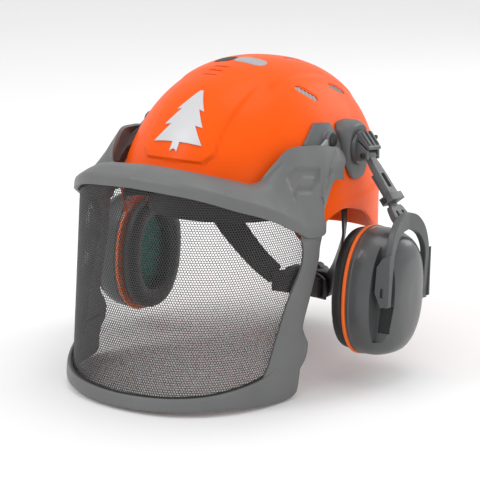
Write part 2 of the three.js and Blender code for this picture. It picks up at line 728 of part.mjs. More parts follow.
// The arms that drop behind the ears from the headband to the nape plate.
const NAPE_ARM = [[0, 117, 10], [0.25, 121, -18], [0.5, 129, -48], [0.75, 141, -78], [1, 153, -96]];
const armAngle = through(NAPE_ARM.map(([u, angle]) => [u, angle]));
const armHeight = through(NAPE_ARM.map(([u, , z]) => [u, z]));
const napeArm = () =>
  sheet(
    (u, v) => {
      const radius = 92;
      const e = 0.01;
      const run = (armAngle(u + e) - armAngle(u - e)) * DEG * radius;
      const drop = armHeight(u + e) - armHeight(u - e);
      const long = Math.hypot(run, drop);
      const across = (v - 0.5) * mix(30, 22, u);
      const angle = armAngle(u) * DEG - ((drop / long) * across) / radius;
      return headPoint(angle, armHeight(u) + (run / long) * across, BAND_THICK + 2 * GAP);
    },
    10,
    3,
    0,
    BAND_THICK,
  );
const napePlate = () =>
  sheet(
    (u, v) => {
      const angle = mix(150, 210, u) * DEG;
      const half = 13 - 3.5 * (2 * u - 1) ** 2;
      return headPoint(angle, mix(NAPE_Z - half, NAPE_Z + half, v));
    },
    16,
    2,
    -2.4,
    0,
  );
const napePad = () =>
  sheet(
    (u, v) => {
      const angle = mix(156, 204, u) * DEG;
      return headPoint(angle, mix(NAPE_Z - 9.5, NAPE_Z + 9.5, v));
    },
    14,
    2,
    -6.6,
    -2.4 - GAP,
  );
const BACK = HEAD.y + HEAD.half; // where the nape plate's back face is, on the centre line
const NAPE = { y0: BACK + 0.8, y1: BACK + 12.8, half: 26, tall: 13, knob: 17, pinion: 3.4 };
const RACK = { y0: BACK + 4.4, y1: BACK + 7.6, tall: 5, slack: 0.35 };
function napeHousing() {
  const { y0, y1, half, tall } = NAPE;
  const shape = new THREE.Shape();
  shape.moveTo(-half + 7, -tall).lineTo(half - 7, -tall);
  shape.absarc(half - 7, -tall + 7, 7, -Math.PI / 2, 0);
  shape.absarc(half - 7, tall - 7, 7, 0, Math.PI / 2);
  shape.absarc(-half + 7, tall - 7, 7, Math.PI / 2, Math.PI);
  shape.absarc(-half + 7, -tall + 7, 7, Math.PI, 1.5 * Math.PI);
  const block = new THREE.ExtrudeGeometry(shape, {
    depth: y1 - y0,
    bevelEnabled: false,
    curveSegments: 4,
  });
  block.rotateX(Math.PI / 2).translate(0, y1, NAPE_Z);
  const { tall: rack, slack } = RACK;
  const reach = NAPE.pinion + rack + slack;
  const channel = box(-40, 40, RACK.y0 - slack, RACK.y1 + slack, NAPE_Z - reach, NAPE_Z + reach);
  const bore = bar("y", BACK + 6, BACK + 20, [0, NAPE_Z], 6.3, 20);
  return cut(block, channel, bore);
}
// Each rack slides in the housing as the knob's pinion turns between them.
function rack(side) {
  const { pinion } = NAPE;
  const low = NAPE_Z + (side > 0 ? pinion + 0.12 : -pinion - 0.12 - RACK.tall);
  const [x0, x1] = side > 0 ? [-14, 44] : [-44, 14];
  return box(x0, x1, RACK.y0, RACK.y1, low, low + RACK.tall);
}
function ratchetKnob() {
  const { y1, knob } = NAPE;
  const lobes = 12;
  const shape = new THREE.Shape();
  const rim = Array.from({ length: lobes * 4 }, (_, i) => {
    const a = (i / (lobes * 4)) * 2 * Math.PI;
    const r = knob - (i % 4 === 0 ? 1.3 : 0);
    return new THREE.Vector2(r * Math.cos(a), r * Math.sin(a));
  });
  shape.setFromPoints(rim);
  const disc = new THREE.ExtrudeGeometry(shape, { depth: 9, bevelEnabled: false });
  disc.rotateX(-Math.PI / 2).translate(0, y1 + 0.5, NAPE_Z);
  const shaft = bar("y", RACK.y0 + 0.2, y1 + 2, [0, NAPE_Z], NAPE.pinion, 16);
  const collar = bar("y", BACK + 8.4, y1 + 2, [0, NAPE_Z], 5.9, 20);
  return join(disc, shaft, collar);
}

// Two woven straps cross under the crown; each end is held by a clip on the shell's wall.
const CLIPS = { front: 38 * DEG, rear: 142 * DEG, z: 20 };
const STRAP = { wide: 20, thick: 1.1, endZ: 28, endGrow: -12 };
const crownStrap = (from, middleGrow) =>
  sheet(
    (u, v) => {
      const angle = u < 0.5 ? from : from + Math.PI;
      const down = Math.abs(2 * u - 1);
      const grow = mix(middleGrow, STRAP.endGrow, down ** 3);
      const start = riseAt(angle, STRAP.endZ, grow);
      const p = shellPoint(angle, mix(start, Math.PI / 2, 1 - down), grow);
      const side = vec(Math.cos(from), Math.sin(from), 0);
      return p.addScaledVector(side, (v - 0.5) * STRAP.wide);
    },
    24,
    1,
    0,
    STRAP.thick,
  );
function clip(angle) {
  const p = headPoint(angle, 0, BAND_THICK + GAP);
  const q = shellAt(angle, CLIPS.z, -SHELL.wall - GAP);
  const out = vec(q.x - p.x, q.y - p.y, 0).normalize();
  const across = vec(-out.y, out.x, 0);
  const reach = vec(q.x - p.x, q.y - p.y, 0).length();
  const at = (r, a, z) => vec(p.x, p.y, z).addScaledVector(out, r).addScaledVector(across, a);
  const block = (r0, r1, half, z0, z1) => {
    const loop = (r) => [[-half, z0], [half, z0], [half, z1], [-half, z1]].map(([a, z]) => at(r, a, z));
    return loft([loop(r0), loop(r1)]);
  };
  const leg = block(0, reach + 4, 7, CLIPS.z - 5, CLIPS.z + 5);
  const pad = block(reach - 5, reach + 6, 12, CLIPS.z - 8, CLIPS.z + 16);
  const inside = asSolid(dome(-SHELL.wall - FACET_GAP, 40, () => -20));
  const band = (u, v) => headPoint(u * 2 * Math.PI, mix(-30, 60, v));
  const head = asSolid(sheet(band, 48, 1, -40, BAND_THICK + GAP, true));
  return asGeometry(asSolid(join(leg, pad)).intersect(inside).subtract(head));
}

// ---- assembly ----
const helmet = new THREE.Group();
const left = new THREE.Group();
const right = new THREE.Group();
right.scale.x = -1;
helmet.add(left, right);
const muffs = [left, right].map((side) => {
  const muff = new THREE.Group();
  muff.position.set(0, SWIVEL.y, SWIVEL.z);
  muff.rotation.x = -MUFF_LEAN;
  side.add(muff);
  return muff;
});
const put = (group, name, geometry, material) => {
  const mesh = new THREE.Mesh(geometry, material);
  mesh.name = name;
  group.add(mesh);
};
// The same piece on both sides, mirrored.
const pair = (name, geometry, material, [a, b] = [left, right]) => {
  put(a, `${name}_left`, geometry, material);
  put(b, `${name}_right`, geometry, material);
};

const ventHoles = Object.values(VENTS).flatMap(({ place, length, width }) => {
  const hole = slot(place, length, width, -12, 12);
  return [hole, mirrored(hole)];
});
const muffSlots = [1, -1].map((side) => {
  const [halfY, halfZ] = [TONGUE.halfY + GAP, TONGUE.halfZ + GAP];
  const [x0, x1] = side > 0 ? [85, 115] : [-115, -85];
  return box(x0, x1, SWIVEL.y - halfY, SWIVEL.y + halfY, TONGUE.z - halfZ, TONGUE.z + halfZ);
});
const crownHole = slot(CROWN_VENT.place, CROWN_VENT.length, CROWN_VENT.width, -12, 12);
put(
  helmet,
  "shell",
  cut(dome(0, SHELL.wall, rimAt), ...ventHoles, ...muffSlots, crownHole),
  MATERIAL.shell,
);
for (const [name, { place, length, width }] of Object.entries(VENTS)) {
  const grille = slot(place, length - 2 * GAP, width - 2 * GAP, -SHELL.wall + 0.3, -1);
  pair(`vent_${name}`, grille, MATERIAL.vent);
}
const { place: crownPlace, length: crownLength, width: crownWidth } = CROWN_VENT;
const crownGrille = slot(crownPlace, crownLength - 2 * GAP, crownWidth - 2 * GAP, -2.6, -0.6);
put(helmet, "vent_crown", crownGrille, MATERIAL.mount);

put(helmet, "visor_peak", visorPeak(), MATERIAL.visor);
put(helmet, "visor_frame", visorFrame(), MATERIAL.visor);
put(helmet, "visor_mesh", visorScreen(), MATERIAL.mesh);
pair("visor_hinge_base", hingeBase(), MATERIAL.mount);
pair("visor_hinge_pin", hingePin(), MATERIAL.trim);

pair("muff_mount", muffMount(), MATERIAL.mount);
pair("muff_swivel", muffSwivel(), MATERIAL.arm, muffs);
pair("muff_fold_pin", foldPin(), MATERIAL.steel, muffs);
pair("muff_fold_spring", foldSpring(), MATERIAL.steel, muffs);
pair("muff_arm", muffArm(), MATERIAL.arm, muffs);
pair("muff_fork", muffFork(), MATERIAL.arm, muffs);
pair("cup_pin_front", cupPin(-1), MATERIAL.steel, muffs);
pair("cup_pin_rear", cupPin(1), MATERIAL.steel, muffs);
pair("cup_shell", muffCup(), MATERIAL.cup, muffs);
pair("cup_ring", muffRing(), MATERIAL.ring, muffs);
pair("cup_cushion", muffCushion(), MATERIAL.cushion, muffs);
pair("cup_foam", muffFoam(), MATERIAL.foam, muffs);

put(helmet, "headband", headband(), MATERIAL.band);
put(helmet, "sweatband", sweatband(), MATERIAL.strap);
pair("nape_arm", napeArm(), MATERIAL.band);
put(helmet, "nape_plate", napePlate(), MATERIAL.band);
put(helmet, "nape_pad", napePad(), MATERIAL.strap);
put(helmet, "nape_housing", napeHousing(), MATERIAL.band);
put(helmet, "nape_rack_left", rack(1), MATERIAL.band);
put(helmet, "nape_rack_right", rack(-1), MATERIAL.band);
put(helmet, "ratchet_knob", ratchetKnob(), MATERIAL.band);
put(helmet, "crown_strap_lower", crownStrap(CLIPS.front, -24), MATERIAL.strap);
put(helmet, "crown_strap_upper", crownStrap(-CLIPS.front, -21.5), MATERIAL.strap);
pair("clip_front", clip(CLIPS.front), MATERIAL.band);
pair("clip_rear", clip(CLIPS.rear), MATERIAL.band);

export default helmet;
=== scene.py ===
"""Forestry helmet: the looks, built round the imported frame.

Shapes are worked out in millimetres, in the frame's own axes, and turned to metres when a mesh is made.
"""
import json
import math

import bmesh
import bpy
from mathutils import Matrix, Vector


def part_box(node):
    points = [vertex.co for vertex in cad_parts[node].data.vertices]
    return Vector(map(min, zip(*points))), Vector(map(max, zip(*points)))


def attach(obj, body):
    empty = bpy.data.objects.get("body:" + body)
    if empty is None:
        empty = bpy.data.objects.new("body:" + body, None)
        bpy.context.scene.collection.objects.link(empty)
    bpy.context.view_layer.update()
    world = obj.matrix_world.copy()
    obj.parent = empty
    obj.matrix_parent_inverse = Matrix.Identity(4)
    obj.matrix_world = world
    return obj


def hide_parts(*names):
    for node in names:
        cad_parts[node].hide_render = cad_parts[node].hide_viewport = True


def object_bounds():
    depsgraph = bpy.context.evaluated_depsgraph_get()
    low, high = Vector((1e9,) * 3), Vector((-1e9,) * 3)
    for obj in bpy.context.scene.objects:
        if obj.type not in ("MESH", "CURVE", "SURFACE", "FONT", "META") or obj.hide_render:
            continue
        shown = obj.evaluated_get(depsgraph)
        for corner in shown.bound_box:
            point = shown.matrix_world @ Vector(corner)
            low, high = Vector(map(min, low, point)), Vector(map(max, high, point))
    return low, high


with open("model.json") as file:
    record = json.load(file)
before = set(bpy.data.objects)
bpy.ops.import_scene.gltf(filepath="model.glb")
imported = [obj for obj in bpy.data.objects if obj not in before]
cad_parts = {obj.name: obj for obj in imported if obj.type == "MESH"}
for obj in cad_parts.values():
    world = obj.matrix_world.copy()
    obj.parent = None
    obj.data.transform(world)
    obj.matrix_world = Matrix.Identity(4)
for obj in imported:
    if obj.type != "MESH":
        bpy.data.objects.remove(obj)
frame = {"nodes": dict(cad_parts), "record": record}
CAD_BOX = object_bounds()
MM = 0.001
DEG = math.pi / 180
SIDES = (("left", 1), ("right", -1))


def mm(point):
    """A point of the frame, in millimetres."""
    return Vector(point) / MM


def linked(name, data):
    thing = bpy.data.objects.new(name, data)
    bpy.context.scene.collection.objects.link(thing)
    return thing


def aimed(thing, position, direction):
    """Puts a camera or a lamp at a position, looking along a direction."""
    thing.location = position
    thing.rotation_mode = "QUATERNION"
    thing.rotation_quaternion = direction.to_track_quat("-Z", "Y")


def result_of(piece, *helpers):
    """The mesh that a piece's modifiers make. The piece and its helpers are removed."""
    graph = bpy.context.evaluated_depsgraph_get()
    mesh = bpy.data.meshes.new_from_object(piece.evaluated_get(graph))
    for thing in (piece, *helpers):
        bpy.data.objects.remove(thing)
    return mesh


# ---- camera, lights and floor ----
def make_camera():
    """The camera, turned azimuth to the wearer's left of straight ahead, and looking a little down."""
    azimuth, elevation, distance = 34 * DEG, 14 * DEG, 1.45
    aim = Vector((-0.0052, -0.0034, -0.0366))
    focal_px, image_px, sensor_mm = 1580, 480, 36
    back = Vector((
        math.sin(azimuth) * math.cos(elevation),
        -math.cos(azimuth) * math.cos(elevation),
        math.sin(elevation),
    ))
    data = bpy.data.cameras.new("camera")
    data.sensor_width = sensor_mm
    data.lens = focal_px * sensor_mm / image_px
    camera = linked("camera", data)
    aimed(camera, aim + back * distance, -back)
    bpy.context.scene.camera = camera


def make_light(name, position, size, power):
    """A soft round lamp pointed at the helmet."""
    data = bpy.data.lights.new(name, "AREA")
    data.shape = "DISK"
    data.size = size
    data.energy = power
    aimed(linked(name, data), position, -Vector(position))


FLOOR_SIZE = 12
FLOOR_GAP = 0.0015  # below the lowest point of the CAD
SKY = 0.86


def make_stage():
    """A pale floor just under the helmet, an even white sky, and four soft lamps."""
    lowest = CAD_BOX[0].z - FLOOR_GAP
    half = FLOOR_SIZE / 2
    mesh = bpy.data.meshes.new("floor")
    corners = [(-half, -half), (half, -half), (half, half), (-half, half)]
    mesh.from_pydata([(x, y, lowest) for x, y in corners], [], [(0, 1, 2, 3)])
    floor = linked("floor", mesh)
    floor.data.materials.append(FLOOR)
    world = bpy.data.worlds.new("studio")
    world.use_nodes = True
    background = world.node_tree.nodes["Background"]
    background.inputs["Color"].default_value = (1, 1, 1, 1)
    background.inputs["Strength"].default_value = SKY
    bpy.context.scene.world = world
    bpy.context.scene.view_settings.view_transform = "Standard"
    make_light("key", (-1.1, -1.4, 1.7), 0.9, 12)
    make_light("fill", (1.9, -1.0, 0.7), 1.3, 3.5)
    make_light("top", (0.1, 0.3, 2.2), 1.4, 10)
    make_light("rim", (0.6, 1.9, 1.0), 1.2, 9)


# ---- materials ----
def new_material(name):
    material = bpy.data.materials.new(name)
    material.use_nodes = True
    tree = material.node_tree
    shader = tree.nodes["Principled BSDF"]
    return material, tree, shader


def own_coordinates(tree):
    return tree.nodes.new("ShaderNodeTexCoord").outputs["Object"]


def noise(tree, scale, detail=3.0, stretch=(1, 1, 1)):
    """Noise in the piece's own coordinates; scale is in repeats per metre."""
    mapping = tree.nodes.new("ShaderNodeMapping")
    mapping.inputs["Scale"].default_value = stretch
    texture = tree.nodes.new("ShaderNodeTexNoise")
    texture.inputs["Scale"].default_value = scale
    texture.inputs["Detail"].default_value = detail
    tree.links.new(own_coordinates(tree), mapping.inputs["Vector"])
    tree.links.new(mapping.outputs["Vector"], texture.inputs["Vector"])
    return texture.outputs["Fac"]


def cells(tree, scale):
    """How far each place is from the middle of its cell."""
    texture = tree.nodes.new("ShaderNodeTexVoronoi")
    texture.inputs["Scale"].default_value = scale
    tree.links.new(own_coordinates(tree), texture.inputs["Vector"])
    return texture.outputs["Distance"]


def colour_by(tree, shader, value, stops):
    """The shader's colour follows a value through (position, colour) stops."""
    node = tree.nodes.new("ShaderNodeValToRGB")
    node.color_ramp.elements[0].position = stops[0][0]
    node.color_ramp.elements[0].color = (*stops[0][1], 1)
    node.color_ramp.elements[1].position = stops[-1][0]
    node.color_ramp.elements[1].color = (*stops[-1][1], 1)
    for position, colour in stops[1:-1]:
        node.color_ramp.elements.new(position).color = (*colour, 1)
    tree.links.new(value, node.inputs["Fac"])
    tree.links.new(node.outputs["Color"], shader.inputs["Base Color"])


def roughen_by(tree, shader, value, low, high):
    """The shader's roughness runs from low to high with a value from 0 to 1."""
    node = tree.nodes.new("ShaderNodeMapRange")
    node.inputs["To Min"].default_value = low
    node.inputs["To Max"].default_value = high
    tree.links.new(value, node.inputs["Value"])
    tree.links.new(node.outputs["Result"], shader.inputs["Roughness"])


def bump(tree, shader, height, strength, distance):
    """Fine relief on a surface, up to distance metres high."""
    node = tree.nodes.new("ShaderNodeBump")
    node.inputs["Strength"].default_value = strength
    node.inputs["Distance"].default_value = distance
    tree.links.new(height, node.inputs["Height"])
    tree.links.new(node.outputs["Normal"], shader.inputs["Normal"])


def shade(colour, by):
    return tuple(min(1, c * by) for c in colour)


def moulded(name, colour, roughness, grain=900, depth=0.00006, coat=0.0, vary=0.1, specular=0.5):
    """Moulded plastic: cloudy colour, a fine spark-eroded grain, and roughness that varies."""
    material, tree, shader = new_material(name)
    clouds = noise(tree, 24, 4)
    stops = [(0.3, shade(colour, 1 - vary)), (0.7, shade(colour, 1 + vary))]
    colour_by(tree, shader, clouds, stops)
    scuff = noise(tree, 120, 6)
    roughen_by(tree, shader, scuff, roughness - 0.06, roughness + 0.08)
    shader.inputs["Coat Weight"].default_value = coat
    shader.inputs["Coat Roughness"].default_value = 0.12
    shader.inputs["Specular IOR Level"].default_value = specular
    bump(tree, shader, noise(tree, grain, 2), 0.35, depth)
    return material


def woven(name, colour, pitch=0.0011):
    """A woven webbing: two crossed sets of ribs, pitch metres apart, with painted shade in their hollows and
    painted highlight on their crests.
    """
    rough = 0.85
    material, tree, shader = new_material(name)
    place = own_coordinates(tree)
    heights = []
    for axis, turn in enumerate((45, -45)):
        mapping = tree.nodes.new("ShaderNodeMapping")
        mapping.inputs["Rotation"].default_value = (0.4, 0.5, turn * DEG)
        wave = tree.nodes.new("ShaderNodeTexWave")
        wave.inputs["Scale"].default_value = 0.31 / pitch
        wave.inputs["Distortion"].default_value = 0.6
        wave.bands_direction = "X" if axis == 0 else "Y"
        tree.links.new(place, mapping.inputs["Vector"])
        tree.links.new(mapping.outputs["Vector"], wave.inputs["Vector"])
        heights.append(wave.outputs["Fac"])
    both = tree.nodes.new("ShaderNodeMath")
    both.operation = "MULTIPLY"
    tree.links.new(heights[0], both.inputs[0])
    tree.links.new(heights[1], both.inputs[1])
    # Painted shade and highlight: the colour follows the ribs' height, darker low and lighter high.
    stops = [(0.1, shade(colour, 0.55)), (0.8, shade(colour, 1.25))]
    colour_by(tree, shader, both.outputs["Value"], stops)
    roughen_by(tree, shader, noise(tree, 90), rough - 0.08, rough + 0.06)
    shader.inputs["Sheen Weight"].default_value = 0.3
    shader.inputs["Sheen Roughness"].default_value = 0.5
    bump(tree, shader, both.outputs["Value"], 0.7, 0.0004)
    return material


def skin(name, colour, rough):
    """The cushion's smooth skin: a fine leather-like grain with soft creases."""
    material, tree, shader = new_material(name)
    stops = [(0.3, shade(colour, 0.8)), (0.7, shade(colour, 1.3))]
    colour_by(tree, shader, noise(tree, 60, 4), stops)
    roughen_by(tree, shader, noise(tree, 200, 5), rough - 0.1, rough + 0.12)
    bump(tree, shader, cells(tree, 900), 0.35, 0.0002)
    return material


def foam(name, colour):
    """Open-cell foam: a dull sponge, darker in its pores as painted shade and lighter on the walls between
    them as painted highlight.
    """
    material, tree, shader = new_material(name)
    pores = cells(tree, 620)
    # Painted shade in the pores and painted highlight on the walls, following the bump's height.
    stops = [(0.0, shade(colour, 0.35)), (0.35, colour), (0.8, shade(colour, 1.35))]
    colour_by(tree, shader, pores, stops)
    roughen_by(tree, shader, noise(tree, 150), 0.85, 1.0)
    shader.inputs["Sheen Weight"].default_value = 0.15
    bump(tree, shader, pores, 0.9, 0.0008)
    return material


def metal(name, colour, rough):
    """Bare metal with fine drawn streaks."""
    material, tree, shader = new_material(name)
    shader.inputs["Metallic"].default_value = 1.0
    streaks = noise(tree, 300, 4, stretch=(1, 0.08, 1))
    stops = [(0.3, shade(colour, 0.85)), (0.7, shade(colour, 1.1))]
    colour_by(tree, shader, streaks, stops)
    roughen_by(tree, shader, streaks, rough - 0.08, rough + 0.1)
    bump(tree, shader, streaks, 0.2, 0.00005)
    return material


def paper(name, colour):
    """A matt, almost even surface."""
    material, tree, shader = new_material(name)
    stops = [(0.2, shade(colour, 0.985)), (0.8, colour)]
    colour_by(tree, shader, noise(tree, 3, 3), stops)
    roughen_by(tree, shader, noise(tree, 9), 0.7, 0.85)
    return material


FLOOR = paper("floor_paper", (0.93, 0.93, 0.93))
SHELL = moulded("shell_orange", (0.95, 0.1, 0.0), 0.42, 420, 0.00004, coat=0.05, vary=0.04, specular=0.12)
# Painted shade: a darker orange for the floors of the crown's slits, where shade falls in the recess.
SLIT_SHADE = moulded("shell_slit_painted_shade", (0.75, 0.07, 0.002), 0.4, 420, vary=0.05)
EMBLEM = moulded("emblem_grey", (0.6, 0.6, 0.62), 0.35, 700, 0.00004, vary=0.04)
VISOR_GREY = moulded("visor_grey", (0.135, 0.137, 0.138), 0.46, 1100, 0.00012, vary=0.08)
MOUNT = moulded("mount_grey", (0.105, 0.108, 0.11), 0.46, 1100, 0.0001, vary=0.1)
# Painted highlight: a lighter grey for the visor's struts, where they catch the light.
STRUT_HIGHLIGHT = moulded("strut_painted_highlight", (0.3, 0.305, 0.31), 0.42, 1100, 0.0001, vary=0.06)
ARM = moulded("arm_grey", (0.085, 0.088, 0.09), 0.42, 1100, 0.0001, vary=0.12)
CUP = moulded("cup_grey", (0.075, 0.078, 0.08), 0.33, 800, 0.00006, coat=0.25, vary=0.1)
# Painted shade: near-black put in recesses, on slots, on a plate in the crown and along the mesh's join,
# where shade falls.
PAINTED_SHADE = moulded("recess_painted_shade", (0.016, 0.016, 0.017), 0.55, 900, vary=0.15)
BLACK = moulded("band_black", (0.014, 0.014, 0.015), 0.44, 900, 0.0001, vary=0.2)
RING = moulded("ring_orange", (1.0, 0.16, 0.015), 0.42, 700, vary=0.05)
GRILLE = moulded("vent_grey", (0.36, 0.37, 0.38), 0.45, 900, vary=0.06)
WIRE = moulded("mesh_black", (0.035, 0.036, 0.038), 0.42, 2000, 0.00003, coat=0.2, vary=0.15)
SKIN = skin("cushion_skin", (0.017, 0.017, 0.018), 0.42)
FOAM = foam("foam_green", (0.012, 0.27, 0.19))
WEBBING = woven("webbing_black", (0.022, 0.022, 0.024))
PAD = woven("pad_black", (0.02, 0.02, 0.022), 0.0016)
STEEL = metal("pin_steel", (0.62, 0.62, 0.64), 0.3)


# ---- making meshes ----
def mix(a, b, t):
    return a + (b - a) * t


def smooth(t):
    """A soft step: 0 up to 0, 1 from 1, and eased between."""
    t = min(1.0, max(0.0, t))
    return t * t * (3 - 2 * t)


def through(pairs):
    """A smooth curve through (position, value) pairs, read at any position."""
    last = len(pairs) - 1

    def slope(k):
        before, after = pairs[max(0, k - 1)], pairs[min(last, k + 1)]
        return (after[1] - before[1]) / (after[0] - before[0])

    def read(at):
        x = min(pairs[last][0], max(pairs[0][0], at))
        i = 0
        while i < last - 1 and pairs[i + 1][0] < x:
            i += 1
        span = pairs[i + 1][0] - pairs[i][0]
        t = (x - pairs[i][0]) / span
        return (
            pairs[i][1] * (2 * t**3 - 3 * t**2 + 1)
            + slope(i) * span * (t**3 - 2 * t**2 + t)
            + pairs[i + 1][1] * (3 * t**2 - 2 * t**3)
            + slope(i + 1) * span * (t**3 - t**2)
        )

    return read


def signed_power(w, power):
    """The power of a number that keeps its sign."""
    return math.copysign(abs(w) ** power, w)


class Shape:
    """Points in millimetres and the faces between them."""

    def __init__(self):
        self.points = []
        self.faces = []

    def add(self, point):
        self.points.append(tuple(point))
        return len(self.points) - 1

    def quad(self, a, b, c, d):
        self.faces.append((a, b, c, d))

    def band(self, a, b):
        """Faces between two closed loops of equal length."""
        for i in range(len(a)):
            k = (i + 1) % len(a)
            self.quad(a[i], b[i], b[k], a[k])

    def raw_mesh(self, name):
        data = bpy.data.meshes.new(name)
        data.from_pydata([tuple(c * MM for c in p) for p in self.points], [], self.faces)
        return data

    def mesh(self, name):
        """A mesh with its doubled points joined and its faces turned outward."""
        data = self.raw_mesh(name)
        work = bmesh.new()
        work.from_mesh(data)
        bmesh.ops.remove_doubles(work, verts=work.verts, dist=1e-7)
        bmesh.ops.recalc_face_normals(work, faces=work.faces)
        work.to_mesh(data)
        work.free()
        return data


def plate(surface, nu, nv, low, high):
    """A sheet between two offsets (numbers, or functions of u and v) from surface(u, v)."""
    step = 1e-3
    shape = Shape()

    def offset(u, v, by):
        du = surface(u + step, v) - surface(u - step, v)
        dv = surface(u, v + step) - surface(u, v - step)
        amount = by(u, v) if callable(by) else by
        return surface(u, v) + du.cross(dv).normalized() * amount

    loops = []
    for i in range(nu + 1):
        loop = [shape.add(offset(i / nu, j / nv, high)) for j in range(nv + 1)]
        loop += [shape.add(offset(i / nu, j / nv, low)) for j in range(nv, -1, -1)]
        loops.append(loop)
    for a, b in zip(loops, loops[1:]):
        shape.band(a, b)
    for loop in (loops[0], loops[-1]):
        for j in range(nv):
            shape.quad(loop[j], loop[j + 1], loop[-2 - j], loop[-1 - j])
    return shape


def loft(sections, joined=False):
    """A solid through closed loops of equal length, capped at both ends or joined up."""
    shape = Shape()
    rows = [[shape.add(p) for p in loop] for loop in sections]
    for a, b in zip(rows, rows[1:]):
        shape.band(a, b)
    if joined:
        shape.band(rows[-1], rows[0])
    else:
        shape.faces += [tuple(reversed(rows[0])), tuple(rows[-1])]
    return shape


def turns_of(count):
    """count angles, evenly round a full turn."""
    return [i / count * 2 * math.pi for i in range(count)]


def oval(x, y, z, half_y, half_z, power=2.3, count=96):
    """A rounded oblong in the Y-Z plane at x."""
    loop = []
    for a in turns_of(count):
        across, up = signed_power(math.cos(a), 2 / power), signed_power(math.sin(a), 2 / power)
        loop.append(Vector((x, y + half_y * across, z + half_z * up)))
    return loop


def append(shape, part):
    start = len(shape.points)
    shape.points += part.points
    shape.faces += [tuple(k + start for k in face) for face in part.faces]


def place(name, mesh, material, body, slot, bevel=0.0, angle=32, segments=2, replaces=()):
    """Shows a mesh or a Shape as a piece of the model, with its hard edges rounded by bevel mm."""
    if isinstance(mesh, Shape):
        mesh = mesh.mesh(name)
    piece = linked(name, mesh)
    mesh.materials.clear()
    mesh.materials.append(material)
    mesh.polygons.foreach_set("use_smooth", [True] * len(mesh.polygons))
    if bevel:
        rounding = piece.modifiers.new("rounding", "BEVEL")
        rounding.width = bevel * MM
        rounding.segments = segments
        rounding.limit_method = "ANGLE"
        rounding.angle_limit = angle * DEG
        rounding.harden_normals = True
    else:
        mesh.set_sharp_from_angle(angle=angle * DEG)
    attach(piece, body)
    if replaces:
        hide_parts(*replaces)
    return piece


def cut(whole, cutters):
    """The mesh of a Shape less the cutter Shapes."""
    piece = linked("whole", whole.mesh("whole"))
    tools = []
    for shape in cutters:
        modifier = piece.modifiers.new("cut", "BOOLEAN")
        modifier.operation = "DIFFERENCE"
        modifier.solver = "EXACT"
        modifier.object = linked("cutter", shape.mesh("cutter"))
        tools.append(modifier.object)
    return result_of(piece, *tools)


FLAT = 1.0  # facets that meet within this many degrees are one face


def from_node(node):
    """A clean copy of a CAD node's mesh, its flat facets merged."""
    mesh = frame["nodes"][node].data.copy()
    work = bmesh.new()
    work.from_mesh(mesh)
    bmesh.ops.remove_doubles(work, verts=work.verts, dist=1e-6)
    bmesh.ops.dissolve_limit(
        work, angle_limit=FLAT * DEG, verts=work.verts, edges=work.edges, use_dissolve_boundaries=False
    )
    work.to_mesh(mesh)
    work.free()
    return mesh


BODY_OF = {n: b for b, members in frame["record"]["behaviour"]["bodies"].items() for n in members}
SLOT_OF = {s["node"]: s["material_slot"] for s in frame["record"]["subparts"]}


def finish_node(node, material, bevel=0.5, angle=32, segments=2):
    """Shows a CAD node's shape with rounded edges."""
    where, slot = BODY_OF[node], SLOT_OF[node]
    place(f"{node}_body", from_node(node), material, where, slot, bevel, angle, segments, (node,))


def mirrored(mesh):
    """The same mesh on the other side."""
    other = mesh.copy()
    other.transform(Matrix.Scale(-1, 4, Vector((1, 0, 0))))
    other.flip_normals()
    return other


def both_sides(name, mesh, material, body, slot, replaces="", **rounding):
    """A left piece and its mirror image. body and replaces get the side's name."""
    if isinstance(mesh, Shape):
        mesh = mesh.mesh(name)
    for side, sign in SIDES:
        data = mesh if sign > 0 else mirrored(mesh)
        stands_for = (f"{replaces}_{side}",) if replaces else ()
        where = body if body in ("helmet", "visor") else f"{body}_{side}"
        place(f"{name}_{side}", data, material, where, slot, replaces=stands_for, **rounding)


# ---- shell ----
SHELL_HIGH = mm(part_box("shell")[1])
HALF_WIDTH = SHELL_HIGH.x
CROWN = SHELL_HIGH.z
MIDDLE = -1.3  # where the widest plan section sits along Y
LEAN = 5.7  # how far back the crown sits from there
FRONT, BACK = 130, 143.5
FRONT_POWER, BACK_POWER = 2.0, 2.3
WALL = 3
LET_IN = 1.0  # how far the dome is inside the CAD shell where it has no relief
RIM = through([
    (0, 30), (22, 28), (40, 22), (51, 8), (59, -12), (66, -11), (76, 2), (88, 7),
    (100, 3), (110, -4), (122, -20), (145, -38), (180, -45),
])


def shell_point(angle, rise, grow=0.0):
    """angle is from the front towards the wearer's left; below rise 0 the wall runs straight down."""
    east, south = math.sin(angle), -math.cos(angle)
    power = mix(FRONT_POWER, BACK_POWER, (south + 1) / 2)
    reach = (BACK if south > 0 else FRONT) + grow
    flat = math.cos(rise) if rise > 0 else 1
    up = math.sin(rise) if rise > 0 else 0
    size = (
        abs(east * flat / (HALF_WIDTH + grow)) ** power
        + abs(south * flat / reach) ** power
        + abs(up / (CROWN + grow)) ** power
    ) ** (-1 / power)
    z = size * up if rise > 0 else CROWN * rise
    back = MIDDLE + LEAN * max(z, 0) / CROWN
    return Vector((size * east * flat, size * south * flat + back, z))


def bisect(low, high, too_low):
    """The value between low and high where too_low stops being true."""
    for _ in range(26):
        middle = (low + high) / 2
        if too_low(middle):
            low = middle
        else:
            high = middle
    return (low + high) / 2


def rise_at(angle, z):
    """The rise at which the shell is z high."""
    if z <= 0:
        return z / CROWN
    return bisect(0, math.pi / 2, lambda r: shell_point(angle, r).z < z)


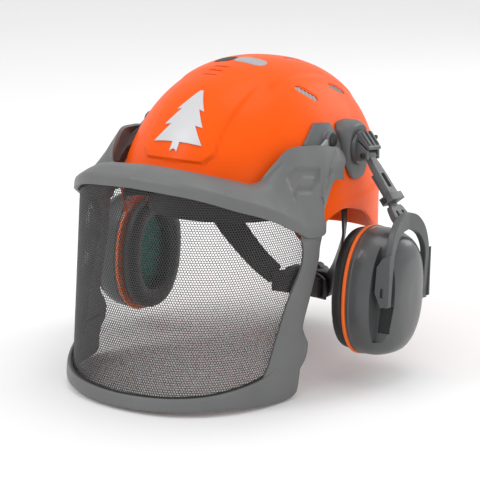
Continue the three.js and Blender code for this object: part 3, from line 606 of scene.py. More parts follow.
def relief(p):
    """How far the wall stands out of the plain dome: the brow panel, the crown cap and the skirt."""
    side = abs(p.x)
    panel = smooth((37.5 + 0.1 * max(0, p.z - 84) - side) / 1.8) * smooth((p.z - 56) / 1.8)
    panel *= smooth((31 + (p.z - 57) - side) / 1.8) * (1 - smooth((p.y + 78) / 56))
    cap_half = 52 + 0.1 * p.y
    cap = smooth((cap_half - side) / 3.5) * smooth((p.y + 46) / 16) * smooth((p.z - 88) / 8)
    skirt = smooth((16 - p.z) / 2.5) * smooth((p.y + 60) / 14)
    return 2.0 * panel + 1.1 * cap + 1.1 * skirt


def shell_skin(angle, rise, grow=0.0):
    """The shell's outside with its relief. The plain dome is let in, so that the relief stays in the box."""
    plain = shell_point(angle, rise)
    return shell_point(angle, rise, grow + relief(plain) - LET_IN)


def rim_at(angle):
    """How high the rim is at an angle, the same on both sides."""
    turned = abs(((angle / DEG + 180) % 360 + 360) % 360 - 180)
    return RIM(turned)


def dome():
    """The shell as a closed solid, with its rim rolled over from outside to inside."""
    around, rows = 320, 84
    roll = [(0.0, 0.0), (-0.25, -0.9), (-WALL / 2, -1.5), (0.25 - WALL, -0.9), (-WALL, 0.0)]
    shape = Shape()

    def ring(grow, part, drop=0.0, detailed=True):
        loop = []
        for i in range(around):
            angle = i / around * 2 * math.pi
            start = rise_at(angle, rim_at(angle) + WALL / 2 + drop)
            rise = mix(start, math.pi / 2, part)
            point = shell_skin(angle, rise, grow) if detailed else shell_point(angle, rise, grow)
            loop.append(shape.add(point))
        return loop

    outer = [ring(0, j / rows) for j in range(rows - 1, -1, -1)]
    edge = [ring(grow, 0, drop) for grow, drop in roll[1:-1]]
    inner = [ring(-WALL, j / rows, detailed=j < 2) for j in range(rows)]
    rings = outer + edge + inner
    for a, b in zip(rings, rings[1:]):
        shape.band(a, b)
    top = shape.add(shell_skin(0, math.pi / 2))
    under = shape.add(shell_point(0, math.pi / 2, -WALL))
    for i in range(around):
        k = (i + 1) % around
        shape.faces.append((top, rings[0][i], rings[0][k]))
        shape.faces.append((under, rings[-1][k], rings[-1][i]))
    return shape


def on_top(x, y):
    """(angle, rise) of the shell above a place in plan."""
    z = CROWN
    for _ in range(6):
        south = y - MIDDLE - LEAN * z / CROWN
        angle = math.atan2(x, -south)
        reach = math.hypot(x, south)

        def flat_reach(rise):
            p = shell_point(angle, rise)
            return math.hypot(p.x, p.y - MIDDLE - LEAN * p.z / CROWN)

        rise = bisect(0, math.pi / 2, lambda r: flat_reach(r) > reach)
        z = shell_point(angle, rise).z
    return angle, rise


def on_front(x, z):
    """(angle, rise) of the shell's front at a place seen from ahead."""
    angle = bisect(-80 * DEG, 80 * DEG, lambda a: shell_point(a, rise_at(a, z)).x < x)
    return angle, rise_at(angle, z)


def facing(angle, rise, heading=0.0):
    """The place, and the along, across and outward directions, on the shell's outside."""
    e = 0.01
    p = shell_skin(angle, rise)
    east = (shell_point(angle + e, rise) - shell_point(angle - e, rise)).normalized()
    up = shell_point(angle, rise + e) - shell_point(angle, rise - e)
    out = east.cross(up).normalized()
    north = out.cross(east)
    along = east * math.cos(heading) + north * math.sin(heading)
    return p, along, out.cross(along), out


def facing_skin(angle, rise, height):
    """A point that stands height millimetres off the shell's outside."""
    p, _, _, out = facing(angle, rise)
    return p + out * height


def slot_bar(spot, length, width, low, high, ends=8, taper=0.0):
    """An oblong bar with round ends that stands across the wall."""
    p, along, across, out = spot
    reach, radius = length / 2 - width / 2, width / 2
    loops = []
    for depth in (low, high):
        r = radius + taper * (depth - low)
        loop = []
        for end in (1, -1):
            for i in range(ends + 1):
                a = -math.pi / 2 + i / ends * math.pi
                x, y = end * (reach + r * math.cos(a)), end * r * math.sin(a)
                loop.append(p + along * x + across * y + out * depth)
        loops.append(loop)
    return loft(loops)


def close_patch(shape, face, back):
    """Skins over two matching grids of points, and the edge between them."""
    for j in range(len(face) - 1):
        for i in range(len(face[0]) - 1):
            shape.quad(face[j][i], face[j][i + 1], face[j + 1][i + 1], face[j + 1][i])
            shape.quad(back[j][i], back[j + 1][i], back[j + 1][i + 1], back[j][i + 1])
    a, b = (
        g[0] + [row[-1] for row in g[1:]] + g[-1][-2::-1] + [row[0] for row in g[-2:0:-1]]
        for g in (face, back)
    )
    shape.band(a, b)


def inlay(x0, x1, y, half, height=0.35, depth=-1.2):
    """A thin plate let into the crown: it follows the dome from x0 to x1, rounded at its ends."""
    shape = Shape()
    columns, rows = 22, 10
    faces = []
    for level in (height, depth):
        grid = []
        for i in range(columns + 1):
            t = 2 * i / columns - 1
            wide = half * (1 - abs(t) ** 5) ** 0.5 if abs(t) < 1 else half * 0.05
            x = mix(x0, x1, i / columns)
            spots = [on_top(x, y + wide * (2 * j / rows - 1)) for j in range(rows + 1)]
            grid.append([shape.add(facing_skin(*spot, level)) for spot in spots])
        faces.append(grid)
    close_patch(shape, *faces)
    return shape


VENTS = {  # angle and rise of the middle, heading, length, width
    "side_front": (83.5, 58, -0.85, 24, 7),
    "side_rear": (125, 52.5, -0.8, 24, 7),
    "top": (146, 72, -1.0, 19, 5.5),
}
GRILLE_PLAY = 0.8  # how much smaller a grille is than its opening
SLITS = ((-8, -47), (-6, -40), (-4, -33))  # in plan, on the front of the crown


def make_crown_inlay(name, x0, x1, material, replaces):
    place(name, inlay(x0, x1, -11, 8), material, "helmet", "vent", angle=50, replaces=replaces)


def make_shell():
    """The shell, cut through for the vents and let in for the slits, with the inserts in its crown; the
    slits' floors in a darker orange and a near-black plate in the crown are painted shade.
    """
    cutters = []
    for angle, rise, heading, length, width in VENTS.values():
        for side in (1, -1):
            spot = facing(side * angle * DEG, rise * DEG, side * heading)
            cutters.append(slot_bar(spot, length, width, -8, 8))
            cutters.append(slot_bar(spot, length + 4, width + 3.4, -0.7, 6, taper=0.5))
    for x, y in SLITS:
        cutters.append(slot_bar(facing(*on_top(x, y)), 17, 3, -1.0, 6))
    mesh = cut(dome(), cutters)
    place("shell_body", mesh, SHELL, "helmet", "shell", angle=30, replaces=("shell",))
    for name, (angle, rise, heading, length, width) in VENTS.items():
        for side, sign in SIDES:
            spot = facing(sign * angle * DEG, rise * DEG, sign * heading)
            make_grille(f"vent_{name}_{side}", spot, length - GRILLE_PLAY, width - GRILLE_PLAY)
    # A near-black plate beside the crown's grey insert: painted shade.
    make_crown_inlay("crown_painted_shade", -25, -5, PAINTED_SHADE, ())
    make_crown_inlay("crown_inlay_light", -4, 27, GRILLE, ("vent_crown",))
    for i, (x, y) in enumerate(SLITS):
        # The slit's floor gets the darker orange: painted shade in the recess.
        bar = slot_bar(facing(*on_top(x, y)), 16.6, 2.6, -1.1, -0.6)
        place(f"crown_slit_{i + 1}", bar, SLIT_SHADE, "helmet", "shell", bevel=0.2)


def make_grille(node, spot, length, width):
    """A vent's insert, with cross ribs."""
    p, along, across, out = spot
    insert = slot_bar(spot, length, width, -2.7, -1.7)
    ribs = 5
    for i in range(ribs):
        x = (i - (ribs - 1) / 2) * length / (ribs + 1)
        rib = slot_bar((p + along * x, across, along, out), width - GRILLE_PLAY, 1.1, -1.9, -0.7, ends=3)
        append(insert, rib)
    place(f"{node}_grille", insert, GRILLE, "helmet", "vent", bevel=0.2, replaces=(node,))


def make_emblem():
    """A generic mark, a pine tree in three tiers and a trunk, standing about 1 mm off the brow panel."""
    tiers = [  # top, foot, and half the width at each
        (109, 96.5, 1.5, 13.5), (99.5, 84.5, 5.5, 19), (88, 71, 8.5, 24), (72.5, 65.5, 3.4, 3.4),
    ]
    centre = 1.0
    shape = Shape()
    across, down = 16, 8
    for k, (top, foot, narrow, wide) in enumerate(tiers):
        sides = []
        for height in (1.0 + 0.06 * k, -0.6):
            grid = []
            for j in range(down + 1):
                z = mix(top, foot, j / down)
                half = mix(narrow, wide, j / down)
                row = []
                for i in range(across + 1):
                    t = 2 * i / across - 1
                    droop = 2.0 * t**2 * (j / down)
                    angle, rise = on_front(centre + half * t, z - droop)
                    row.append(shape.add(facing_skin(angle, rise, height)))
                grid.append(row)
            sides.append(grid)
        close_patch(shape, *sides)
    place("emblem_tree", shape, EMBLEM, "helmet", "shell", angle=40)


# ---- visor ----
VISOR_HALF, VISOR_DEPTH, VISOR_MIDDLE, VISOR_POWER = 114, 134, -40, 2.35
VISOR_LEAN, VISOR_NARROWING = 0.14, 0.0004
PER_TURN = 100  # millimetres of straight wall for each unit of turn past the side


def visor_point(turn, z):
    """A point of the visor's wall: turn 0 is the front, 1 and -1 the sides, and past 1 it runs back."""
    quarter = min(abs(turn), 1) * math.pi / 2
    power = 2 / VISOR_POWER
    x = math.copysign(VISOR_HALF * math.sin(quarter) ** power, turn) * (1 + VISOR_NARROWING * z)
    reach = VISOR_DEPTH * max(0.0, math.cos(quarter)) ** power
    back = max(0.0, abs(turn) - 1) * PER_TURN
    return Vector((x, VISOR_MIDDLE + VISOR_LEAN * z - reach + back, z))


def turn_at(y, z):
    """The turn at which the visor's wall reaches y."""
    ahead = (VISOR_MIDDLE + VISOR_LEAN * z - y) / VISOR_DEPTH
    if ahead <= 0:
        return 1 - ahead * VISOR_DEPTH / PER_TURN
    return math.acos(min(1.0, ahead) ** (VISOR_POWER / 2)) / (math.pi / 2)


ALMOST_AHEAD = 1e-6  # turn 0 itself has no side to lie on
LIP = through([(0, 42), (0.25, 38), (0.5, 26), (0.65, 17), (0.8, 3), (0.88, -5)])
BAR_LOW = through([(0, -139), (0.5, -137), (0.75, -140), (0.88, -139), (0.93, -130)])
BAR_HIGH = through([(0, -128), (0.4, -125), (0.6, -120), (0.72, -114), (0.78, -106)])
STRIP_FRONT = through([
    (-120, -128), (-110, -121), (-81, -110), (-54, -99), (-27, -84), (-14, -82), (-4, -84),
])
STRIP_BACK = through([
    (-132, -88), (-118, -82), (-109, -74), (-97, -72), (-88, -77), (-80, -80), (-57, -72),
    (-25, -61), (-14, -60), (-4, -57),
])
SCREEN_TURN = 0.9
STRIP_LOW, STRIP_TOP = -131, 3


def strip_crown(u, v):
    """How far a side strip stands out of the visor's wall: rounded, and fading out under the peak."""
    fade = 1 - smooth((mix(STRIP_LOW, STRIP_TOP, v) + 7) / 9)
    return (2.0 + 0.8 * (1 - (2 * u - 1) ** 4)) * fade - 0.2


def strip_part(side):
    """A side strip of the visor's frame. On the right the wall's outside is its low side."""
    under = 0.4

    def strip(u, v):
        z = mix(STRIP_LOW, STRIP_TOP, v)
        return visor_point(side * mix(turn_at(STRIP_FRONT(z), z), turn_at(STRIP_BACK(z), z), u), z)

    if side > 0:
        return plate(strip, 14, 70, -under, strip_crown)
    return plate(strip, 14, 70, lambda u, v: -strip_crown(u, v), under)


def make_visor_frame():
    shape = Shape()
    for side in (1, -1):
        append(shape, strip_part(side))

    def bar(u, v):
        turn = mix(-SCREEN_TURN, SCREEN_TURN, u) or ALMOST_AHEAD
        return visor_point(turn, mix(BAR_LOW(abs(turn)), BAR_HIGH(abs(turn)), v))

    append(shape, plate(bar, 150, 10, -0.4, lambda u, v: 2.6 + 0.9 * (1 - (2 * v - 1) ** 4)))
    place("visor_frame_body", shape, VISOR_GREY, "visor", "visor", bevel=0.9,
          angle=50, segments=3, replaces=("visor_frame",))


# ---- the mesh: real holes between real wires ----
SCREEN_PITCH = 2.3  # from one hole's middle to the next
SCREEN_WIRE = 0.48  # width of the wire between two holes
SCREEN_THICK = 0.5
SCREEN_IN = 2.0  # how far the sheet is inside the frame's wall
SCREEN_ROWS = range(-70, 24)


def make_visor_mesh():
    """A sheet of hexagonal holes, laid out by true distance round the wall and down it."""
    steps = 400
    turns = [i / steps * SCREEN_TURN for i in range(steps + 1)]
    reach = [0.0]
    for a, b in zip(turns, turns[1:]):
        reach.append(reach[-1] + (visor_point(b, -60) - visor_point(a or ALMOST_AHEAD, -60)).length)

    def turn_of(distance):
        d = abs(distance)
        low, high = 0, len(reach) - 1
        while high - low > 1:
            half = (low + high) // 2
            low, high = (half, high) if reach[half] < d else (low, half)
        part = (d - reach[low]) / max(1e-9, reach[high] - reach[low])
        return math.copysign(mix(turns[low], turns[high], min(1.0, part)), distance or 1e-9)

    def edge_top(turn):
        return LIP(abs(turn)) + 1

    def edge_low(turn):
        return mix(BAR_LOW(abs(turn)), BAR_HIGH(abs(turn)), 0.55)

    def on_screen(shape, s, z):
        turn = turn_of(s)
        p = visor_point(turn, min(max(z, edge_low(turn)), edge_top(turn)))
        ahead = (VISOR_MIDDLE - p.y) / VISOR_DEPTH
        inward = Vector((-p.x / VISOR_HALF, ahead, 0)).normalized()
        return shape.add(p + inward * SCREEN_IN), shape.add(p + inward * (SCREEN_IN + SCREEN_THICK))

    def has_hole(s, z):
        turn = turn_of(s)
        ahead = abs(turn) < 0.55 or visor_point(turn, z).y < STRIP_FRONT(z) + 5
        return ahead and edge_low(turn) < z < edge_top(turn) and abs(s) < reach[-1] - SCREEN_PITCH

    row_step = SCREEN_PITCH * math.sqrt(3) / 2
    radius = SCREEN_PITCH / math.sqrt(3)
    inner = (SCREEN_PITCH - SCREEN_WIRE) / math.sqrt(3)
    around = [(k + 0.5) * math.pi / 3 for k in range(6)]
    columns = int(reach[-1] / SCREEN_PITCH)
    for side, sign in SIDES:
        shape = Shape()
        corners = {}
        used = {}
        for row in SCREEN_ROWS:
            z = row * row_step
            for column in range(-columns, columns + 1):
                s = (column + 0.5 * (row % 2)) * SCREEN_PITCH
                if (s >= 0) != (sign > 0) or not has_hole(s, z):
                    continue
                outer = []
                for a in around:
                    at = (s + radius * math.cos(a), z + radius * math.sin(a))
                    key = (round(at[0] * 20), round(at[1] * 20))
                    if key not in corners:
                        corners[key] = on_screen(shape, *at)
                    outer.append(corners[key])
                holes = [on_screen(shape, s + inner * math.cos(a), z + inner * math.sin(a)) for a in around]
                for k in range(6):
                    n = (k + 1) % 6
                    shape.quad(outer[k][0], outer[n][0], holes[n][0], holes[k][0])
                    shape.quad(outer[n][1], outer[k][1], holes[k][1], holes[n][1])
                    shape.quad(holes[k][0], holes[n][0], holes[n][1], holes[k][1])
                    edge = tuple(sorted((outer[k], outer[n])))
                    used[edge] = None if edge in used else (outer[k], outer[n])
        for pair in filter(None, used.values()):
            (a, under_a), (b, under_b) = pair
            shape.quad(b, a, under_a, under_b)
        data = shape.raw_mesh("visor_mesh")
        place(f"visor_mesh_{side}_half", data, WIRE, "visor", "mesh", angle=40,
              replaces=("visor_mesh",) if sign > 0 else ())
    make_seam()


def make_seam():
    # A near-black strip just above the bar, where the mesh meets it: painted shade along the join.
    def seam(u, v):
        turn = mix(-SCREEN_TURN, SCREEN_TURN, u) or ALMOST_AHEAD
        z = BAR_HIGH(abs(turn)) + 1.4 - 2.0 * v
        return visor_point(turn, z)

    place("mesh_seam_shade", plate(seam, 150, 1, -0.6, 0.9), PAINTED_SHADE, "visor", "mesh", bevel=0.3)


# ---- peak ----
# From the middle outward: the brow piece's edge on the shell, and its lower edge or, on the lip, its turn.
BROW = [
    ((0, -124.5, 48), None, 0), ((34, -119.5, 45.5), None, 0.27), ((54.5, -108.5, 42), None, 0.47),
    ((67, -99, 38.5), None, 0.59), ((77.5, -95, 41.5), None, 0.68), ((81, -91, 48.5), None, 0.74),
    ((84, -81.5, 58), None, 0.8), ((87.5, -68, 67.5), None, 0.86),
    ((93, -45, 67), (114.6, -57, -3.5), 0), ((96.5, -30, 65), (112, -56, 11), 0),
    ((98.5, -19, 62.5), (110, -47.5, 22), 0), ((100, -12, 60.5), (108.5, -33, 37), 0),
    ((102.5, -8, 56), (109, -17, 36), 0),
]
BEND = 0.84  # where the top turns down into the lip
PEAK_THICK = 3
HINGE_Y, HINGE_Z, HINGE_PIN = -15, 69, 3.6


def brow_curves():
    """The peak's two edges as curves of the row number. A row with no lower point uses the lip."""
    def low_of(low, turn):
        if low:
            return low
        p = visor_point(turn or ALMOST_AHEAD, LIP(turn))
        return (p.x if turn else 0, p.y, p.z)

    tops = [edge for edge, _, _ in BROW]
    lows = [low_of(low, turn) for _, low, turn in BROW]
    return [
        [through([(i, p[axis]) for i, p in enumerate(points)]) for axis in range(3)]
        for points in (tops, lows)
    ]


BROW_TOP, BROW_LOW = brow_curves()
MARK_SOFT = 1.6  # how wide the sloping edge of a moulded mark is
WING_RECESS = [(-74, 53), (-44, 49), (-51, 38), (-63, 31), (-78, 33), (-95, 21), (-113, 32)]
WING_STEP = [(-68, 46), (-52, 44), (-60, 35.5), (-70, 35.5), (-76, 38), (-92, 26.5), (-101, 30.5)]


def depth_inside(outline, a, b):
    """How far a point of the plane is inside an outline; negative outside."""
    nearest, within = 1e9, False
    for (a0, b0), (a1, b1) in zip(outline, outline[1:] + outline[:1]):
        run, drop = a1 - a0, b1 - b0
        t = min(1, max(0, ((a - a0) * run + (b - b0) * drop) / (run * run + drop * drop)))
        nearest = min(nearest, math.hypot(a - a0 - t * run, b - b0 - t * drop))
        if (b0 > b) != (b1 > b) and a < a0 + (b - b0) / drop * run:
            within = not within
    return nearest if within else -nearest


def wing_mark(y, z):
    """The wing's moulded recess, with a step raised in it."""
    recess = smooth(depth_inside(WING_RECESS, y, z) / MARK_SOFT)
    step = smooth(depth_inside(WING_STEP, y, z) / MARK_SOFT)
    return -2.0 * recess + 1.5 * step


def brow_point(u, v):
    """v runs from the shell to the lip, and u from one ear to the other."""
    along = abs(2 * u - 1)
    at = along * (len(BROW) - 1)
    top = Vector([curve(at) for curve in BROW_TOP])
    low = Vector([curve(at) for curve in BROW_LOW])
    wing = smooth((along - 0.55) / 0.2)
    lip = low + Vector((0, mix(1.5, 0, wing), mix(7.5, 10, wing)))
    swell = Vector((wing, -0.4 * (1 - wing), 1 - wing)) * mix(6, 2, wing)
    p = top.lerp(lip, v / BEND) if v < BEND else lip.lerp(low, (v - BEND) / (1 - BEND))
    p += swell * math.sin(math.pi * min(v, BEND) / BEND)
    return Vector((p.x * (-1 if u < 0.5 else 1), p.y, p.z))


def make_peak():
    """The brow piece from ear to ear, with its wings' recesses, its gutter and two small slots, which are
    near-black bars of painted shade.
    """
    def outside(u, v):
        p = brow_point(u, v)
        wing = smooth((abs(2 * u - 1) - 0.5) / 0.04)
        gutter = -0.9 * smooth((v - 0.08) / 0.03) * (1 - smooth((v - 0.13) / 0.03)) * (1 - wing)
        return -PEAK_THICK - wing_mark(p.y, p.z) * wing - gutter

    shape = plate(brow_point, 420, 56, outside, 0)  # the outside is the low side here
    place("visor_peak_body", shape, VISOR_GREY, "visor", "visor", bevel=0.9, angle=55,
          segments=3, replaces=("visor_peak",))
    make_peak_slots()


def make_peak_slots():
    for side, sign in SIDES:
        ends = [Vector((sign * x, y, z)) for x, y, z in ((69.2, -148.3, 43.6), (75.9, -143.8, 41.1))]
        along = (ends[1] - ends[0]).normalized()
        out = Vector((sign * 0.35, -0.6, 0.72)).normalized()
        across = out.cross(along).normalized()
        bar = slot_bar((sum(ends, Vector()) / 2, along, across, along.cross(across)), 9, 1.7, -0.5, 0.35)
        # Each slot is a near-black bar on the peak's face: painted shade in place of an opening.
        place(f"peak_slot_{side}", bar, PAINTED_SHADE, "visor", "visor", bevel=0.15)


def bar_x(x0, x1, y, z, radius, count=40):
    """A round bar along X."""
    circle = [(y + radius * math.cos(a), z + radius * math.sin(a)) for a in turns_of(count)]
    return loft([[(x, *p) for p in circle] for x in (x0, x1)])


def make_hinges():
    """The struts that reach up from the peak to the pins, in a lighter grey that is a painted highlight."""
    eye, head = 95.4, 98.4
    for side, sign in SIDES:
        web = [
            (HINGE_Y - 6.8, HINGE_Z + 1.5), (HINGE_Y - 31, 59), (HINGE_Y - 10, 55),
            (HINGE_Y + 6.8, HINGE_Z - 1),
        ]
        strut = loft([[(x * sign, y, z) for y, z in web] for x in (eye, head)])
        ring = bar_x(eye * sign, (head + 0.6) * sign, HINGE_Y, HINGE_Z, HINGE_PIN + 3.6)
        place(f"visor_strut_{side}", strut, STRUT_HIGHLIGHT, "visor", "visor", bevel=0.7, segments=3)
        place(f"visor_eye_{side}", ring, MOUNT, "visor", "visor", bevel=0.8, segments=3)
        finish_node(f"visor_hinge_pin_{side}", BLACK, 0.6)
        finish_node(f"visor_hinge_base_{side}", MOUNT, 0.9, segments=3)


# ---- harness ----
def puffed(node, cell=1.3, swell=0.7, stitches=30):
    """A soft pad: the node's shape with rounded edges, quilted by radial rows of stitches."""
    piece = linked("puffed", from_node(node))
    remesh = piece.modifiers.new("remesh", "REMESH")
    remesh.mode, remesh.voxel_size = "VOXEL", cell * MM
    round_off = piece.modifiers.new("smooth", "SMOOTH")
    round_off.factor, round_off.iterations = 0.5, 5
    mesh = result_of(piece)
    for vertex, normal in zip(mesh.vertices, [v.normal.copy() for v in mesh.vertices]):
        turn = math.atan2(vertex.co.x, vertex.co.y)
        rise = abs(math.sin(turn * stitches)) ** 0.5
        vertex.co += normal * (swell * rise - 0.1) * MM
    return mesh


def make_harness():
    for side, _ in SIDES:
        for node in (f"clip_front_{side}", f"clip_rear_{side}"):
            finish_node(node, BLACK, 0.6)
        finish_node(f"nape_arm_{side}", BLACK, 0.5)
        finish_node(f"nape_rack_{side}", BLACK, 0.3)
    for node, material in (
        ("headband", BLACK), ("nape_plate", BLACK), ("nape_housing", BLACK), ("ratchet_knob", BLACK),
        ("crown_strap_lower", WEBBING), ("crown_strap_upper", WEBBING),
    ):
        finish_node(node, material, 0.4)
    for node in ("sweatband", "nape_pad"):
        place(f"{node}_body", puffed(node), PAD, BODY_OF[node], SLOT_OF[node], angle=70, replaces=(node,))


# ---- muffs ----
SWIVEL_Y, SWIVEL_Z = 20, 58
LEAN_BACK = Matrix.Rotation(-5.5 * DEG, 4, "X")
CUP_X, CUP_Z, CUP_HALF_Y, CUP_HALF_Z = 125.5, -124, 43, 56.5
CUP_POWER = 2.25  # how square the cup's oval is
PRONG = 33
ENDS = ((-1, "front"), (1, "rear"))


def hung(shape):
    """A muff's mesh, made in the muff's own frame, put where the left muff hangs."""
    turned = Shape()
    turned.faces = shape.faces
    turned.points = [LEAN_BACK @ Vector(p) + Vector((0, SWIVEL_Y, SWIVEL_Z)) for p in shape.points]
    return turned


def swept(outline, y0, y1):
    """An outline in the X-Z plane swept along Y."""
    return loft([[(x, y, z) for x, z in outline] for y in (y0, y1)])


def across_at(outline, end, near, far):
    """An outline swept from near to far in front of (end -1) or behind (end 1) the muff's middle."""
    return swept(outline, *sorted((end * near, end * far)))


def make_swivel_cap():
    """The ribbed cover over the fold hinge, with the black stop at its rear."""
    cap = [(107.6, 13.5), (110, 14.2), (121.2, 1.8), (121.6, -0.6), (119.8, -0.9), (107.6, 8.1)]
    both_sides("swivel_cap", hung(swept(cap, -10.6, 10.6)), ARM, "muff_swivel", "arm", bevel=1.1,
               segments=3, angle=25)
    rib = [(110.4, 14.9), (112, 14.4), (120.6, 4.4), (120.2, 2.6), (110.4, 13.0)]
    rib_half = 1.3
    ribs = Shape()
    for y in (-7.2, 0, 7.2):
        append(ribs, swept(rib, y - rib_half, y + rib_half))
    both_sides("swivel_ribs", hung(ribs), ARM, "muff_swivel", "arm", bevel=0.5)
    stop = swept([(111, 10), (115.5, 11.4), (116.4, 8), (112, 6.6)], 9.6, 13.4)
    both_sides("swivel_stop", hung(stop), BLACK, "muff_swivel", "arm", bevel=0.8)


FOLD_X, FOLD_Z, ARM_LEAN = 115.5, -6, 38.8 * DEG


def arm_point(s, n, y):
    """s is down the arm from the fold pin, and n is out from it."""
    return Vector((
        FOLD_X + s * math.sin(ARM_LEAN) + n * math.cos(ARM_LEAN),
        y,
        FOLD_Z - s * math.cos(ARM_LEAN) + n * math.sin(ARM_LEAN),
    ))


def in_arm(sections, spans):
    """A loft down the arm: each section is (s, inner n, outer n), and each span is how it runs across."""
    loops = []
    for (s, n0, n1), (y0, y1) in zip(sections, spans):
        loops.append([arm_point(s, n, y) for n, y in ((n0, y0), (n1, y0), (n1, y1), (n0, y1))])
    return loft(loops)


def make_fork_plates():
    """The wide plates on the prongs, each with a slot over the cup's pin, and the arm's black nub."""
    outline = [(150.5, -118), (151, -96), (156, -88), (163.5, -84), (165, -128), (157, -131)]
    slot_outline = [(156, -122), (156, -114), (158.6, -114), (158.6, -122)]
    for end, name in ENDS:
        plate_shape = swept(outline, end * (PRONG + 3.2), end * (PRONG + 5.4))
        slot = across_at(slot_outline, end, PRONG + 2, PRONG + 7)
        mesh = cut(hung(plate_shape), [hung(slot)])
        both_sides(f"fork_plate_{name}", mesh, ARM, "muff_fork", "arm", bevel=0.6)
    nub = in_arm([(41.5, -6.4, -2.4), (45.6, -6.4, -2.4)], [(-13.6, -10.2)] * 2)
    both_sides("arm_nub", hung(nub), BLACK, "muff_arm", "arm", bevel=0.8)


def make_fork():
    """The stem in the arm's sleeve, and the two curved prongs."""
    fork = in_arm([(18, -5.9, -3.1), (66, -5.9, -3.1)], [(-6.5, 6.5)] * 2)
    path = [  # how far along, then x, how far out from the middle, z, and width
        (0, 156.8, 0, -58.5, 15), (13, 157.6, 13, -61.5, 14), (26, 158.8, 24, -69.5, 11),
        (43, 160, 31.4, -84.5, 7.2), (63, 160, PRONG, -103.5, 7.8), (90, 160, PRONG, -130.5, 8),
    ]
    x_at, out_at, z_at, wide_at = (through([(row[0], row[k]) for row in path]) for k in (1, 2, 3, 4))
    steps, half_thick = 36, 3
    loops = []
    for i in range(-steps, steps + 1):
        side = -1 if i < 0 else 1
        t = abs(i) / steps * path[-1][0]
        run, drop = out_at(t + 0.5) - out_at(t - 0.5), z_at(t + 0.5) - z_at(t - 0.5)
        long = math.hypot(run, drop) or 1
        run, drop = (1, 0) if t < 0.5 else (run / long, drop / long)
        half = wide_at(t) / 2
        loops.append([
            (x_at(t) + a * half_thick, side * (out_at(t) - b * drop * half), z_at(t) + b * run * half)
            for a, b in ((-1, -1), (1, -1), (1, 1), (-1, 1))
        ])
    append(fork, loft(loops))
    both_sides("muff_fork_body", hung(fork), ARM, "muff_fork", "arm", replaces="muff_fork",
               bevel=0.9, segments=3)
    make_fork_neck()


def make_fork_neck():
    """The broad plate between the stem and the prongs, with two slots through it."""
    sections = [(49.8, -7, -2.2), (53, -7.2, -1.8), (60, -7.4, -1.6), (67, -6.6, -1.8)]
    neck = in_arm(sections, [(-half, half) for half in (9, 10.8, 12.6, 14)])
    through_neck = [(56, -12, 4), (61.5, -12, 4)]
    slots = [in_arm(through_neck, [span] * 2) for span in ((-6.6, -3.6), (3.6, 6.6))]
    mesh = cut(hung(neck), [hung(slot) for slot in slots])
    both_sides("muff_fork_neck", mesh, ARM, "muff_fork", "arm", bevel=0.6)


def make_cup():
    """The cup's deep outer shell, with the fork's channels and a recess below each prong, whose floor is a
    near-black plate of painted shade.
    """
    wide = through([(0, 1), (13, 1), (25, 0.92), (35, 0.745), (41, 0.5), (42.5, 0.25)])
    tall = through([(0, 1), (13, 1), (25, 0.945), (35, 0.83), (41, 0.6), (42.5, 0.33)])
    steps = [0, 2, 5, 9, 13, 16, 19, 22, 25, 27.5, 30, 32.5, 35, 37, 39, 40.3, 41.3, 42, 42.5]
    rings = [
        oval(CUP_X + dx, 0, CUP_Z, CUP_HALF_Y * wide(dx), CUP_HALF_Z * tall(dx), CUP_POWER) for dx in steps
    ]
    for part in (0.17, 0.08, 0.02):
        rings.append(oval(CUP_X + 42.7, 0, CUP_Z, CUP_HALF_Y * part, CUP_HALF_Z * 1.3 * part, 2.2))
    pit = [(-2, 34, 47), (10, 34, 47), (13.5, 31, 45), (17.5, 23.4, 42), (28, 21, 36), (34, 14, 26)]
    cutters = [hung(loft([oval(CUP_X + dx, 0, CUP_Z, ry, rz, 2.2) for dx, ry, rz in pit]))]
    channel = [(147.5, -164), (147.5, -50), (190, -50), (190, -158)]
    recess = [(150, -155), (151.5, -130), (164, -130), (161, -155)]
    for end in (-1, 1):
        for outline, near, far in ((channel, 26.4, 60), (recess, 24.8, 28)):
            cutters.append(hung(across_at(outline, end, near, far)))
    mesh = cut(hung(loft(rings)), cutters)
    both_sides("cup_shell_body", mesh, CUP, "cup", "cup", replaces="cup_shell", bevel=0.5, angle=40)
    # A near-black plate on each recess's floor: painted shade in the recess.
    recess_shade_outline = [(150.6, -154.4), (152, -130.6), (163.4, -130.6), (160.6, -154.4)]
    for end, name in ENDS:
        mesh = hung(across_at(recess_shade_outline, end, 24.6, 25.6))
        both_sides(f"cup_inlay_{name}", mesh, PAINTED_SHADE, "cup", "cup", bevel=0.2)
    bead = [(127.5, 0.1), (128.2, 0.7), (129, 0.1), (128.4, -0.8)]
    both_sides("cup_lip", cup_hoop(bead, CUP_HALF_Y, CUP_HALF_Z), CUP, "cup", "cup")


def cup_hoop(section, half_y, half_z):
    """A hoop round the cup: its section is a list of (x, how far out from the oval)."""
    loops = [oval(x, 0, CUP_Z, half_y + out, half_z + out, CUP_POWER) for x, out in section]
    return hung(loft(loops, True))


def make_ring():
    """The orange trim between the cup and its cushion."""
    low, high = 122.15, 125.15
    middle, half = (low + high) / 2, (high - low) / 2
    sides, roundness, swell = 16, 0.6, 0.9
    outer, inner = 44.6 - swell, 34
    taller = 13
    loops = []
    for a in turns_of(sides):
        out = swell * signed_power(math.cos(a), roundness)
        x = middle + half * signed_power(math.sin(a), roundness)
        grow = outer + out if out > 0 else inner
        loops.append(oval(x, 0, CUP_Z, grow, grow + taller, CUP_POWER))
    mesh = hung(loft(loops, True))
    both_sides("cup_ring_trim", mesh, RING, "cup", "ring", replaces="cup_ring")


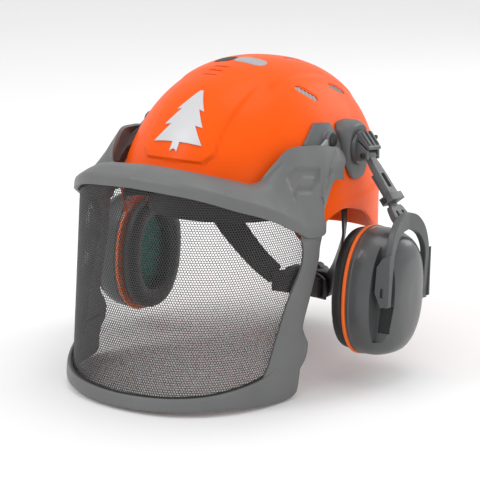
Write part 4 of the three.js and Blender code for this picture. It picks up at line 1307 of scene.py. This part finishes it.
def cushion_mesh():
    """A foam ring in a thin skin: a flat outer band, a welt where the skins join, and a puffed face."""
    sides, count = 28, 140
    loops = []
    for a in turns_of(sides):
        out = 9.4 * signed_power(math.cos(a), 0.7)
        x = 114.9 + 6.7 * signed_power(math.sin(a), 0.75)
        welt = 0.8 * math.exp(-((a - 1.18 * math.pi) / 0.12) ** 2)
        groove = -0.8 * math.exp(-((a - 1.35 * math.pi) / 0.09) ** 2)
        loop = oval(x, 0, CUP_Z, 32 + out, 45 + out, CUP_POWER, count)
        for turn, p in zip(turns_of(count), loop):
            crease = math.sin(23 * turn + 2 * math.sin(5 * turn)) * math.sin(9 * turn + 1)
            p.x -= welt + groove + 0.18 * crease * max(0, -math.sin(a))
        loops.append(loop)
    return hung(loft(loops, True)).mesh("cushion")


CLOTH_FRAMES = 20


def pressed(mesh, swell_mm):
    """The cushion's skin blown up a little by cloth simulation, held within swell_mm of its shape."""
    piece = linked("pressed", mesh)
    start = [v.co.copy() for v in mesh.vertices]
    cloth = piece.modifiers.new("cloth", "CLOTH")
    cloth.settings.use_pressure = True
    cloth.settings.uniform_pressure_force = 4
    cloth.settings.effector_weights.gravity = 0
    cloth.settings.quality = 5
    scene = bpy.context.scene
    for step in range(1, CLOTH_FRAMES + 1):
        scene.frame_set(step)
    result = result_of(piece)
    for vertex, home in zip(result.vertices, start):
        shift = vertex.co - home
        if shift.length > swell_mm * MM:
            vertex.co = home + shift.normalized() * swell_mm * MM
    scene.frame_set(1)
    return result


def foam_pad():
    """The pad inside the cushion: an egg-crate face on a flat back."""
    half_y, half_z, power, count = 32.8, 45.8, 2.2, 120
    cell, rings, lumps = 9, 46, 1.1
    pad = Shape()
    rows = []
    for j in range(rings + 1):
        out = j / rings
        edge = smooth((1 - out) / 0.1)
        row = []
        for p in oval(0, 0, CUP_Z, half_y * out, half_z * out, power, count):
            lump = math.sin(p.y / cell * math.pi) * math.sin((p.z - CUP_Z) / cell * math.pi)
            row.append(pad.add((CUP_X + 1.4 + (1 - edge) * 2 - lumps * lump * edge, p.y, p.z)))
        rows.append(row)
    back = [pad.add((CUP_X + 9.5, p.y, p.z)) for p in oval(0, 0, CUP_Z, half_y, half_z, power, count)]
    rows.append(back)
    for a, b in zip(rows, rows[1:]):
        pad.band(a, b)
    pad.faces.append(tuple(back))
    return hung(pad)


def make_soft_parts():
    """The cushion, the foam in it, and the piping between them."""
    cushion = cushion_mesh()
    cushion = pressed(cushion, 0.7)
    both_sides("cup_cushion_skin", cushion, SKIN, "cup", "cushion", replaces="cup_cushion", angle=70)
    both_sides("cup_foam_pad", foam_pad(), FOAM, "cup", "foam", replaces="cup_foam", angle=60)
    piping = [(121.0, -0.7), (121.8, -1.4), (122.6, -0.7), (121.8, 0.2)]
    both_sides("cup_piping", cup_hoop(piping, 33.4, 46.4), RING, "cup", "ring")


def make_muffs():
    for side, _ in SIDES:
        finish_node(f"muff_mount_{side}", MOUNT, 1.0, segments=3)
        finish_node(f"muff_swivel_{side}", ARM, 0.7)
        finish_node(f"muff_fold_pin_{side}", BLACK, 0.4)
        finish_node(f"muff_fold_spring_{side}", STEEL, 0.0, angle=60)
        finish_node(f"muff_arm_{side}", ARM, 0.6)
        finish_node(f"cup_pin_front_{side}", BLACK, 0.3)
        finish_node(f"cup_pin_rear_{side}", BLACK, 0.3)
    make_swivel_cap()
    make_fork()
    make_fork_plates()
    make_cup()
    make_ring()
    make_soft_parts()


make_camera()
make_stage()
make_shell()
make_emblem()
make_visor_frame()
make_visor_mesh()
make_peak()
make_hinges()
make_harness()
make_muffs()

bpy.context.view_layer.update()
